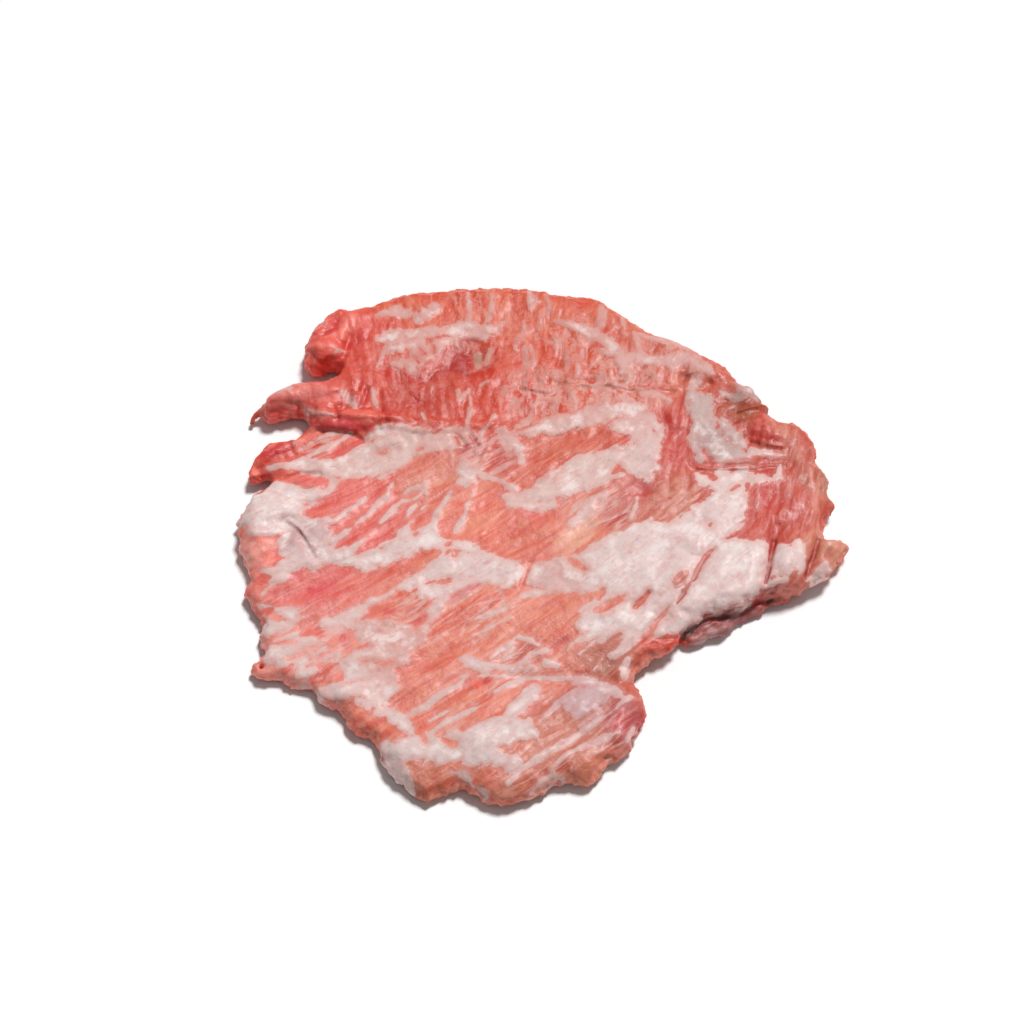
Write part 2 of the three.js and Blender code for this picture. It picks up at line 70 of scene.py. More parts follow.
# Mesh, and how far a surface turns one way, from 1 for straight that way to -1 for straight away
# from it. The underside's is upward, and a side's is up or down, whichever it is.
VOXEL = 0.86
SMOOTHING = 0.5
SMOOTHING_STEPS = 6
UNDERSIDE_TOP = 1.2
UNDERSIDE_NORMAL = -0.7
KEPT_SHARE = 0.62
TOWARDS_BELOW = (0.35, 0.75)
TOWARDS_ABOVE = (0.1, 0.7)
OFF_THE_SIDE = (0.25, 0.7)
TOWARDS_NEAR = (-0.4, 0.3)

# Strokes: values for a point that no stroke reaches, the rounding where strokes meet, and the
# edges of a stroke of colour, of painted shade and of painted highlight, as shares of its half width.
FAR_OUTSIDE = -99.0
ALL_LEAN = -12.0
ROUNDING = 0.8
VEIN_ROUNDING = 0.3
PAINTED_STROKE_EDGE = (-0.6, 0.7)
UPRIGHT_EDGE = 5.0

# Places: the share of the radius where a spot ends and where it is whole, and what keeps the
# weight of a colour at its own middle from having no limit.
SPOT_END = 1.25
SPOT_WHOLE = 0.45
MIDDLE_SHARE = 1e-3

# Relief. What is named a level is the middle of a pattern, and a reach is the least share of it.
FAT_RISE = 0.4
FAT_SHOULDER = 1.7
STRAND_DEPTH = 0.2
BUNDLE_DEPTH = 0.5
LOBE_DEPTH = 0.75
PAD_HEIGHT = 0.4
FOLD_LEVEL = 0.7
FOLD_WIDTH = 0.22
PAD_FOLD_WIDTH = 0.5
BUNDLE_REACH = 0.35
PAD_REACH = 0.35
CALM_LOSS = 0.7
MOST_FAT = 8
CREASE_WARP = 0.6
WIDE = 4.5
LEAST_TORN = 0.35
RIM_TEAR = 1.3
# Painted light: how much paler the near sides' colours are made, to make up for the shade they stand
# in.
NEAR_SIDE_PAINTED_LIGHT = 0.4

# Grooves between bundles and lobes, for the painted shade in them: how high up a fold they reach and
# how strong.
BUNDLE_GROOVE = 0.55
LOBE_GROOVE = 0.6
LOBE_GROOVE_DEPTH = 0.9
GROOVE_REACH = 0.3
GROOVE_CALM_LOSS = 0.6

# Fibres: the upper flap's fan out from a far point, the body's slant and steepen to the right.
# Those of the flap are shorter, by a share.
FAN_MIDDLE_X = -16.7
FAN_GROWTH = 0.00209
FAN_LEVEL_Y = 80
FAN_LENGTH = 0.55
BODY_SLANT = math.radians(38.8)
BODY_SLANT_GROWTH = math.radians(0.08)

# Noises of the shape: the amount, the seed and the size. The lumps are whole heights.
WARPS = [(0.6, 1, 9), (0.6, 2, 9)]
SWAYS = (1.3, 16, 17)
SPOT_RAGS = [(0.9, 5, 2.6), (1.2, 15, 6)]
PADS = (1, 9, 9)
LUMPS = [(0.5, 12, 14), (0.15, 10, 3.1)]
RIM = [(1, 14, 3.4), (0.5, 19, 1.8)]

# Noises drawn out along the fibres: which fibres, the amount, the seed, the length and the width.
RAGS = [("slanting", 1.3, 3, 7, 2.2), ("fan", 1.3, 4, 7, 2.2),
        ("slanting", 1.1, 17, 22, 3.4), ("fan", 1.1, 18, 16, 3.4)]
STRANDS = [("slanting", 1, 6, 18, 2.2), ("fan", 1, 7, 16, 2.2)]
BUNDLES = [("fan", 1, 8, 22, 4.4), ("slanting", 1, 11, 30, 5)]
LOBES = ("fan", 1, 13, 18, 9)

# Noises of the material: size, detail, roughness and distortion.
SPOTS = {
    "fine": (1.5, 5.0, 0.62, 0.0), "lace": (2.6, 5.0, 0.66, 0.8), "speckle": (0.4, 3.0, 0.6, 0.0),
    "blotch": (5.0, 4.0, 0.6, 0.0), "cloud": (9.0, 3.0, 0.55, 0.0), "curls": (5.0, 2.5, 0.5, 1.2),
}

# Noises of the material along the fibres: length, width, detail and wave.
FIBRES = {
    "tatters": (6.0, 1.7, 4.0, 0.7), "coarse": (22.0, 2.4, 2.0, 0.7), "thin": (12.0, 0.7, 3.0, 0.7),
    "broad": (26.0, 6.0, 3.0, 0.7), "gaps": (18.0, 4.5, 2.0, 0.7), "threads": (26.0, 8.0, 3.0, 1.0),
}

# What takes the place of each of these noises where the fibres show less.
CALMED = {"coarse": "blotch", "thin": "fine", "broad": "cloud"}

# Edge of the fat: how far the tatters (of the body, of the fan) and the lace move it, and the
# limits of the fat and of the thin film round it.
TATTERS = (3.4, 6.0)
LACE = 3.8
FAT_EDGE = (-0.3, 0.4)
FILM_EDGE = (-2.0, 0.2)
FILM_SHARE = 0.24

# Threads and curls of fat. A growth is a value without streaks and what full streaks add to it.
CALM_SHARE = 0.75
THREAD_GROWTH = (0.001, 0.12)
THREAD_SIDES = (1.5, 0.3)
THREAD_PLACES = (0.45, 0.56)
THREAD_SHARE_GROWTH = (0.35, 0.9)
CURL_SIDES = (0.06, 0.02)
CURL_PLACES = (0.44, 0.54)
CURL_SHARE_GROWTH = (0.15, 2.0)
MOST_CURL = 0.9

# Lean: how much each noise sways its light, how strong the painted shade in its grooves and creases is
# and its tint, then each layer: its noise, the limits between which it comes in, and the tint that the
# lean is multiplied by.
LEAN_SWAYS = {"thin": 0.12, "coarse": 0.16, "broad": 0.3}
GROOVE_SHADE_SHARE = 0.5
GROOVE_SHADE = (0.78, 0.42, 0.40, 1)
LEAN_LAYERS = [("blotch", (0.45, 0.62), (1.03, 1.06, 0.94, 1)),
               ("broad", (0.55, 0.4), (0.99, 0.64, 0.60, 1))]
PALE = (0.86, 0.60, 0.54, 1)
PALE_GROWTH = (0.12, 0.45)
PALE_FIBRES = (0.48, 0.64)

# Fat: its white patches, then each pink layer: its noise, its limits, the most that it covers and
# its tint, and last what shades the fat in blots.
WHITE = (0.90, 0.80, 0.77, 1)
WHITE_SHARE = 0.55
WHITE_PLACES = (0.52, 0.36)
PINK = (0.98, 0.76, 0.72, 1)
FAT_LAYERS = [("edge", (3.4, 0.2), 0.8, PINK), ("tatters", (0.5, 0.66), 0.55, PINK),
              ("fine", (0.58, 0.76), 0.3, (0.95, 0.56, 0.51, 1))]
SHADED = (0.95, 0.82, 0.83, 1)
SHADED_PLACES = (0.5, 0.68)

# Fine relief: how much each noise raises it, alike or on lean and on fat, how much of it is left
# where the fibres show less, and its strength and thickness.
FAT_RELIEF = 0.12
NOISE_RELIEF = {
    "thin": 0.12, "coarse": 0.28, "blotch": (0.8, 0.5), "fine": (0.35, 0.22), "speckle": 0.08,
}
CALM_RELIEF = 0.55
RELIEF_STRENGTH = 0.8
RELIEF_THICKNESS = 0.9

# Roughness of lean and of fat, and how much blots change it.
ROUGHNESS = (0.42, 0.62)
ROUGHNESS_SWAY = 0.5

# The shader's plain values.
MEAT_SHADER = {
    "Subsurface Weight": 0.22,
    "Subsurface Radius": (1.0, 0.35, 0.25),
    "Subsurface Scale": 1.2 * MM,
    "Coat Weight": 0.07,
    "Coat Roughness": 0.2,
    "IOR": 1.4,
}
FLOOR_SHADER = {
    "Base Color": (FLOOR_WHITE, FLOOR_WHITE, FLOOR_WHITE, 1),
    "Roughness": 0.9,
    "Specular IOR Level": 0.0,
}

# Strokes of fat, from above: points (x, y, half width) of the middle line. Later ones join on.
FAT = [
    # Upper flap
    [(-71, 97, 3.5), (-66, 98, 5.5), (-59, 100, 3), (-50, 102, 4), (-42, 103, 4.5), (-33, 104, 5),
     (-26, 103, 5.5), (-20, 105, 2.5), (-16, 109, 1)],
    [(-74, 111, 0.8), (-66, 113, 3.5), (-61, 112.5, 2.2)],
    [(-55, 108, 2.6), (-52, 113, 4), (-48, 116, 3)],
    [(-66, 83, 1.4), (-59, 84, 4), (-53, 88, 4.8), (-47, 92.5, 4), (-43, 97, 3)],
    [(-70, 92, 2), (-71.5, 86, 1.2), (-73, 81, 0.6)],
    [(-33, 126, 0.8), (-32, 119, 1.6), (-33, 110, 1.4)],
    [(-22, 125, 0.8), (-22, 116, 1.4), (-24, 109, 1.8)], [(-5, 128, 0.8), (-4, 122, 2.4), (-5, 117, 1)],
    [(-28, 84, 1.8), (-28, 91, 1.6)], [(-23, 93, 1.2), (-24, 85, 1.2)],
    [(-8.6, 79, 0.8), (-7, 84, 1.6), (-6.6, 90, 1.4), (-7, 95, 1)],
    [(-4.4, 95.5, 0.9), (-3, 89, 1.2), (-3.6, 85, 1.3)], [(7.4, 80, 2), (6.2, 77.5, 1.6)],
    [(6, 110, 0.8), (13, 107.5, 2), (21, 104, 4), (27, 99, 4.2), (31, 93, 4.2), (37, 87, 4.6),
     (42, 88, 3.6), (50, 86, 3), (58, 86, 4.5), (66, 87, 4.2), (72, 83, 4), (75, 79, 2.6)],
    [(36, 87, 4), (37, 81, 3), (40, 77, 1.6)], [(27.5, 118, 1.8), (28.5, 113, 2), (27.5, 107.5, 2)],
    [(46, 102, 0.8), (54, 98, 1.4), (62, 95, 1)],
    # Net below the flap
    [(-3.6, 60.5, 1.6), (-1.4, 63.5, 2)], [(-6.6, 75.5, 1.2), (-6, 70, 1), (-5.2, 65, 0.7)],
    [(3.8, 72, 0.8), (3.6, 66, 1)],
    [(12, 75.6, 0.9), (17, 73.8, 0.8), (24, 72, 0.8), (30, 70, 1.1), (34, 67.5, 1)],
    [(-37, 68, 1.2), (-36.4, 63, 1.4), (-34, 66.5, 1.4), (-31.8, 69, 1)],
    [(-48.2, 69.5, 0.8), (-48, 66.5, 0.8)],
    # Right side
    [(70, 77, 2.5), (67, 69, 3.5), (70, 61, 6.5), (70, 52, 6.5), (72, 44, 6), (77, 37, 6.5),
     (83, 32, 7), (87, 29, 5)], [(92, 69, 4.2), (95, 65, 2.5)],
    [(80, 68, 1.4), (86, 64, 1.8), (89, 65, 2.4)], [(46, 67, 2), (52, 67, 1.8), (57, 63, 1)],
    # Middle
    [(-18, 46, 2.4), (-9, 47, 3.6), (0, 49, 4.4), (10, 51, 4.8), (19, 54, 5.2), (28, 57, 5),
     (36, 58, 4.6), (43, 58, 4)],
    [(33, 49, 3.5), (42, 49, 5.5), (46, 42, 6), (45, 34, 6.5), (43, 26, 5.5)],
    [(92, 35, 2.6), (99, 34, 2.4), (104.5, 33.5, 1)],
    [(88, 23, 2.4), (96, 21.6, 2.6), (103, 21.6, 1.4)],
    [(67, 22.5, 2), (70, 19, 3), (78, 21, 4.5), (86, 22, 4)],
    [(-9, 10, 3.5), (0, 14, 6.5), (9, 19, 8), (18, 24, 9.5), (28, 28, 9), (37, 31, 8), (44, 28, 7)],
    [(-17, 14, 1.6), (-12, 9, 3), (-4, 6, 2.6), (4, 8, 2.6)],
    [(-14, 42, 4), (-10, 38, 3.2), (-9, 31, 2)],
    # Left band
    [(-119, 28.5, 1.2), (-112, 28.6, 2.2), (-104, 29.5, 3.6), (-96, 27, 5), (-88, 27, 6), (-80, 31, 7),
     (-72, 34, 8), (-64, 37, 8), (-56, 39, 6.5), (-48, 41, 6), (-40, 43, 5.4), (-33, 44, 4.2)],
    [(-76, 43, 2), (-70, 45.5, 3.4), (-62, 45.5, 3.4), (-54, 44, 3.6)],
    [(-38, 37, 2.6), (-35, 30, 4), (-32, 24, 5), (-34, 19, 2.4)],
    # Hump, and under it
    [(-124, 9, 6.5), (-117, 5, 10), (-109, 3, 9), (-102, -4, 7.5), (-96, -10, 7)],
    [(-114, 16, 4.4), (-107, 12, 4.5), (-99, 10, 3.6), (-94, 14, 3), (-90, 20, 3)],
    [(-108, -12, 5), (-103, -19, 6), (-95, -19, 6.5), (-86, -18, 5.5), (-78, -21, 4.5), (-69, -20, 4.5),
     (-60, -14, 5.6), (-52, -9, 6), (-47, -11, 6)], [(-123, -8, 1.8), (-118, -8.5, 2)],
    # Between the stripes
    [(-92, -3, 2.4), (-85, 2, 1.3), (-79, 7.5, 1.1), (-75.5, 12, 1), (-74, 17, 0.6)],
    [(-89, -11, 2.4), (-80, -4, 1.4), (-74, 3, 1.6), (-70, 8, 2.2), (-66, 12, 1.6), (-65, 17, 1.3),
     (-62, 21, 0.8)],
    [(-83, -17, 1.6), (-76, -11, 1.2), (-70, -4.5, 1.3), (-66, 0.5, 1.3), (-63.5, 6.5, 1.5),
     (-60, 9.8, 1.5), (-55, 11.2, 1.1), (-51.5, 14.5, 1.2), (-50, 20, 0.8)],
    [(-60, -7, 3), (-56.5, -1.5, 1.6), (-56, 4, 1.5), (-54, 8, 1)],
    [(-48, -4, 3), (-46, 0.5, 1.7), (-43.5, 6, 1.3), (-41, 11, 1.3), (-39, 15, 1)],
    [(-37, -6, 1.7), (-34.5, -1, 1.2), (-32.6, 4, 1), (-31.4, 9, 0.9), (-30.6, 16, 1)],
    # Body, fold and nose
    [(-62, -33, 1.6), (-57, -33, 2.6), (-50, -28, 5), (-42, -24, 6.6), (-33, -24, 8), (-24, -25, 8),
     (-15, -27, 6.5), (-8, -27, 4)],
    [(-2, -27.6, 6), (7, -28.4, 9), (17, -27.6, 10), (28, -24, 12), (40, -18, 13), (52, -13, 13),
     (64, -8, 12), (75, 0, 11), (80, 9, 8), (79, 18, 8)],
    [(30, -34, 6), (42, -33, 8), (54, -31, 11), (66, -27, 13), (78, -25, 13), (90, -24, 11),
     (100, -23, 8.5), (106, -22, 5)], [(50, -47, 5), (60, -41, 7), (72, -38, 7.5), (84, -34, 7)],
    [(46, -54.5, 4), (53, -54.6, 3.8), (59, -49, 4), (65, -45, 3.8), (72, -42.6, 3.8), (80, -41.2, 3.6),
     (86, -37, 3.2), (93, -34.4, 2), (101, -33, 1.6)],
    [(114, -30, 1.2), (119, -27, 1.4), (121, -25, 0.8)], [(106, -25, 5), (108, -16, 3)],
    [(121, -15.6, 0.8), (121.4, -14, 0.7)], [(40, 57, 3), (47, 54, 3.4), (51, 48, 2.6), (52, 42, 1.6)],
    # By the notch
    [(16, -54, 3), (22, -51.5, 7), (31, -48, 9.5), (41, -45, 8), (47, -44, 7)],
    [(15, -60.4, 0.8), (20, -57.6, 3), (27, -57.4, 3.4), (36, -55, 4.6), (45, -52, 4)],
    [(28, -68, 1.8), (32, -64, 2.4), (38, -59.4, 2.8)], [(33, -77, 1.6), (33.2, -73, 2), (35, -69, 1)],
    # Lower left
    [(-92, -52, 2.4), (-87, -50.5, 3.4), (-80, -48, 3.4), (-74, -44, 2.6), (-69, -40, 1.6),
     (-63, -36, 1.2)], [(-76, -53, 3), (-71, -56, 6.5), (-64, -58, 8), (-57, -60, 7), (-52, -58, 4)],
    [(-79, -72, 4), (-73, -69, 7), (-66, -68, 7), (-59, -67, 5.5)],
    [(-91, -84.5, 2.8), (-84, -84, 3.4), (-76, -82, 3.2), (-68, -80, 2.6), (-61, -79, 1)],
    [(-75, -89, 1.6), (-70, -90, 3), (-66, -94, 2)],
    # Near side
    [(-63, -109, 3), (-59, -114, 5.5), (-54, -111, 6.5), (-47, -110, 6.5), (-40, -113, 6),
     (-35, -110, 6)],
    [(-35, -109, 6), (-26, -106, 8.5), (-17, -104, 7.5), (-9, -103, 5.5), (-5, -106, 4)],
    [(-30, -115, 4), (-22, -115, 4.5), (-13, -117, 3)],
    [(-4, -83, 3), (-6, -88, 4), (-11, -92, 3.4), (-14, -97, 2.4)],
    # Lobe
    [(10, -89, 3.4), (16, -88, 6), (22, -85, 5.6), (14, -94, 3)],
    [(4, -112, 0.8), (10, -107, 1.3), (16, -102, 1.8), (22, -98, 2)],
    [(-8, -120, 1), (0, -114, 1.4), (8, -108, 1.2)], [(-14, -127, 1.4), (-9, -120, 1.2), (-3, -116, 1)],
    [(4, -119, 0.7), (9.6, -113, 1.3), (16, -109.6, 1.6), (24, -106, 1.6), (30, -103, 0.9)],
    # Smaller ones, from the left band round to the lobe
    [(-113, -27, 2), (-118, -26, 0.8)],
    [(-86, 24, 3), (-78, 26, 4), (-70, 27, 4.6), (-64, 30, 4), (-58, 33, 3)],
    [(-101, 34, 1.2), (-94, 38, 1.6), (-88, 42, 1.4), (-83, 46, 1)],
    [(-98, 43, 0.8), (-93, 45.6, 1.4), (-87, 46.5, 0.8)],
    [(-28, 26, 2.4), (-24, 22, 1.8), (-18, 20, 1.4), (-13, 16, 2.6)],
    [(-21, 51, 0.8), (-23.6, 48, 0.8), (-25.8, 45, 1), (-27.2, 40.5, 1.2), (-27.5, 34, 0.8)],
    [(-22, 43, 0.7), (-22.7, 38.5, 0.9), (-23.5, 34.5, 0.9), (-25, 31.5, 1)],
    [(13, -3, 1.8), (18, 3, 2.8), (23, 9, 2.8), (27, 13, 1.8)],
    [(80, 51, 2), (83, 45, 3.2), (87, 39, 3)],
    [(44, 102, 1), (54, 98.5, 2.4), (62, 96, 2.6), (69, 92, 1.6)],
    [(112, -31, 1.4), (116, -28, 2.4), (119, -24, 1.2)], [(-88, -50, 1.6), (-81, -51, 3)],
    [(-72, -84, 3), (-65, -86, 4), (-61, -82, 2.6)], [(-60, -116, 4), (-56, -122, 3.4), (-53, -127, 2)],
    [(-37, -121.6, 0.8), (-32, -121.4, 1.2), (-27, -126, 1.1), (-23, -130, 0.9)],
    [(14, -100, 0.8), (20, -96, 1.2), (27, -90, 1.4)], [(22, -97, 1), (29, -92, 1.6), (35, -87, 1.6)],
    [(22, -81, 1), (28, -84, 2.4), (33, -88, 1.6)],
    [(-34, -77, 0.4), (-12, -77.4, 0.8), (8, -77.6, 1), (18, -77.4, 1)],
    # Streaks of the body and the near side
    [(-31, -51, 0.6), (-22, -47.4, 1.3), (-13, -43.4, 1)],
    [(-29, -58, 0.5), (-21, -53.4, 0.9), (-14, -49.6, 0.5)],
    [(-8, -38, 1.6), (-3, -36.6, 2.2), (3, -37, 0.8)],
    [(-54, -95, 1.2), (-47, -90.5, 1.5), (-42, -86.5, 1.7), (-37, -83, 1.4), (-33, -79, 1),
     (-31, -76.4, 0.7)], [(-46, -98, 0.5), (-40, -94, 0.8), (-34, -91, 0.4)],
    [(-45, -103, 1.2), (-38, -98, 1.8), (-31, -94.4, 1.4), (-27, -92, 0.6)],
    [(-20, -85, 0.8), (-14, -81, 1.6), (-9, -79, 1.4)],
    # Streaks of the flap and the net
    [(-7.6, 109, 0.9), (-7.4, 104, 0.9), (-10.4, 98.5, 1), (-11.4, 93, 0.8)],
    [(7, 101, 0.8), (7.6, 95, 1), (6.8, 90.5, 0.7)],
    [(18.2, 92.5, 0.8), (18.6, 88.5, 1.2), (19.4, 86, 0.6)],
    [(-20.6, 54.5, 0.7), (-23, 50, 0.7), (-27, 45, 0.8)], [(-52, 55, 0.6), (-50.6, 52, 0.8)],
    [(33, 111, 0.9), (33.6, 105, 0.9)], [(42, 103, 0.8), (44, 97, 1.5), (45, 91, 1)],
    [(-8.5, 52, 1.2), (-5, 53.5, 1.6)], [(6, 63, 1.6), (8.2, 68.5, 0.8)],
    [(14.5, 68, 1.6), (12.5, 63.5, 1.1)],
    [(32, 72.5, 1.4), (35.5, 70.5, 1.2), (39, 74.5, 1), (43, 74.5, 0.7)],
    # Fingers
    [(-116, 66, 1.4), (-112, 68.5, 1.8)], [(-101, 111, 1), (-102, 104, 1.6)],
    [(-87, 66, 1.6), (-83, 61, 1.8), (-81, 57, 1)], [(-75, 69, 0.9), (-74, 63, 1.3), (-72, 58, 0.8)],
    # Left side and stripes
    [(-127, 1, 4.5), (-121, -3, 4), (-114, -6, 4)],
    [(-106, -23, 5), (-109, -28, 3.4), (-113, -31, 1.6)], [(-112, -32, 0.6), (-117, -36.5, 0.8)],
    [(-54.3, 0.5, 0.4), (-50.3, 8, 0.6), (-49.6, 13, 0.6), (-50, 18, 0.6)],
    [(-59, 13.6, 0.5), (-57, 15.4, 0.7), (-54, 16.8, 0.8), (-50.5, 18.5, 0.6)],
    [(-42, -12.5, 3.6), (-36, -13, 3), (-29, -15, 2.6)],
    [(-19, 46, 1), (-17.2, 40.5, 1.6), (-14.5, 36.5, 2)],
    # More of the flap
    [(-68, 91, 3), (-61, 93, 2.6), (-54, 95.5, 2.6)], [(-58, 82, 2.4), (-56, 78.5, 1.4)],
    [(-39, 99, 1), (-37.5, 95.5, 1.1), (-35.5, 92.5, 0.6)],
    [(-31.6, 65, 0.8), (-31, 57, 0.9), (-32.8, 49, 1.1)],
    [(-27, 71.5, 0.7), (-24.5, 73.2, 1.1), (-22, 74, 0.8)], [(-15.8, 71, 0.6), (-15.4, 65, 0.7)],
    [(-10.5, 71.5, 0.8), (-10.8, 74, 0.8)], [(0, 77, 0.8), (2, 74.5, 0.9)],
    [(0.6, 113, 0.8), (-0.8, 105, 0.7), (-2.6, 98.5, 0.8)],
    [(12, 92, 0.9), (12.4, 86, 1.2), (11, 80, 1)], [(16, 85, 0.9), (17, 79.5, 1.5), (15.4, 76, 0.9)],
    [(16.4, 102, 0.7), (17.2, 98.6, 0.7)], [(37.4, 113, 0.9), (37.6, 107, 0.7)],
    [(3, 125, 0.7), (4, 119, 1.1), (3.4, 112, 0.7)],
    # Right side, and the foot of the lean column
    [(66, 42, 3), (67.5, 36, 2.6), (69, 30.5, 2.4)],
    [(103.4, 28, 0.9), (102.4, 23, 1.6), (98, 20.4, 1.6), (90, 20, 2.4)],
    [(38, -1, 0.9), (39.6, 5, 1.2), (41, 11, 0.8)],
    # More of the lower left
    [(-55, -34, 3), (-48, -36, 4.5), (-42, -38, 4.5), (-37, -35, 4), (-30, -31, 3)],
    [(-44, -42, 3), (-46, -47, 3.4), (-50, -54, 2.6)],
    [(-78, -77, 3), (-70, -76.5, 3), (-63, -76, 2.6)], [(-112, -53, 5), (-106, -60, 7), (-109, -66, 6)],
    [(-104, -47, 3.5), (-97, -57, 5), (-97, -73, 4.5)], [(-99, -68, 4), (-91, -66, 3.5), (-86, -67, 3)],
    [(-118, -42, 0.8), (-109, -44.6, 1.2), (-104, -43.4, 0.8)], [(-111, -47, 0.8), (-106, -45.6, 1.2)],
    [(-64, -93, 2), (-60, -96, 3), (-56, -99, 3.2), (-53, -104, 2)],
    [(-46.8, -116.6, 0.6), (-48.6, -119.6, 0.5)],
    # More of the lobe
    [(-2, -99, 0.7), (2, -94.4, 1.3), (6, -89.6, 1.6)],
    [(13, -80, 1.6), (20, -79.6, 2.4), (26, -81, 1.8)],
    [(-6, -130, 0.6), (-1, -125, 1), (4, -120.4, 0.8)], [(36, -100, 0.8), (33, -106, 0.9)],
    [(4.4, -122, 0.7), (7.6, -122.4, 0.8)], [(-14, -112, 1), (-9, -117.6, 1.2), (-14, -121, 2.4)],
    # Rag by the notch
    [(15.6, -47, 0.8), (19, -44, 1.1), (21.4, -41.6, 0.6)],
    [(-22, -69, 0.9), (-18, -65, 1.3), (-14, -61.4, 1.3), (-10, -57.4, 0.9)],
    [(-9.4, -58.4, 1.1), (-5, -60.2, 1.4), (-1.6, -62.4, 0.9)],
    [(-16.4, -68, 0.6), (-12.6, -63.4, 0.8)], [(-10.4, -73, 0.8), (-7, -69, 0.8), (-4.8, -65.6, 0.5)],
    [(-3.4, -66.4, 1), (1, -65.4, 1.4)],
    [(-31, -70, 3), (-26, -72.6, 3), (-20, -72.6, 1.6), (-12, -73.4, 2.4)],
    [(1, -71, 1.8), (5.4, -71.6, 1.8)], [(-7.6, -75, 0.6), (-5, -72.4, 0.8), (-3.4, -74.6, 0.7)],
    [(9.6, -66, 0.6), (11.6, -62, 1), (15, -59, 1.4)],
    [(14.6, -66.6, 0.5), (18, -63.4, 1), (21, -60.6, 1)],
    [(20.6, -74, 0.4), (22.4, -71.4, 0.6), (24.4, -69, 0.4)],
]

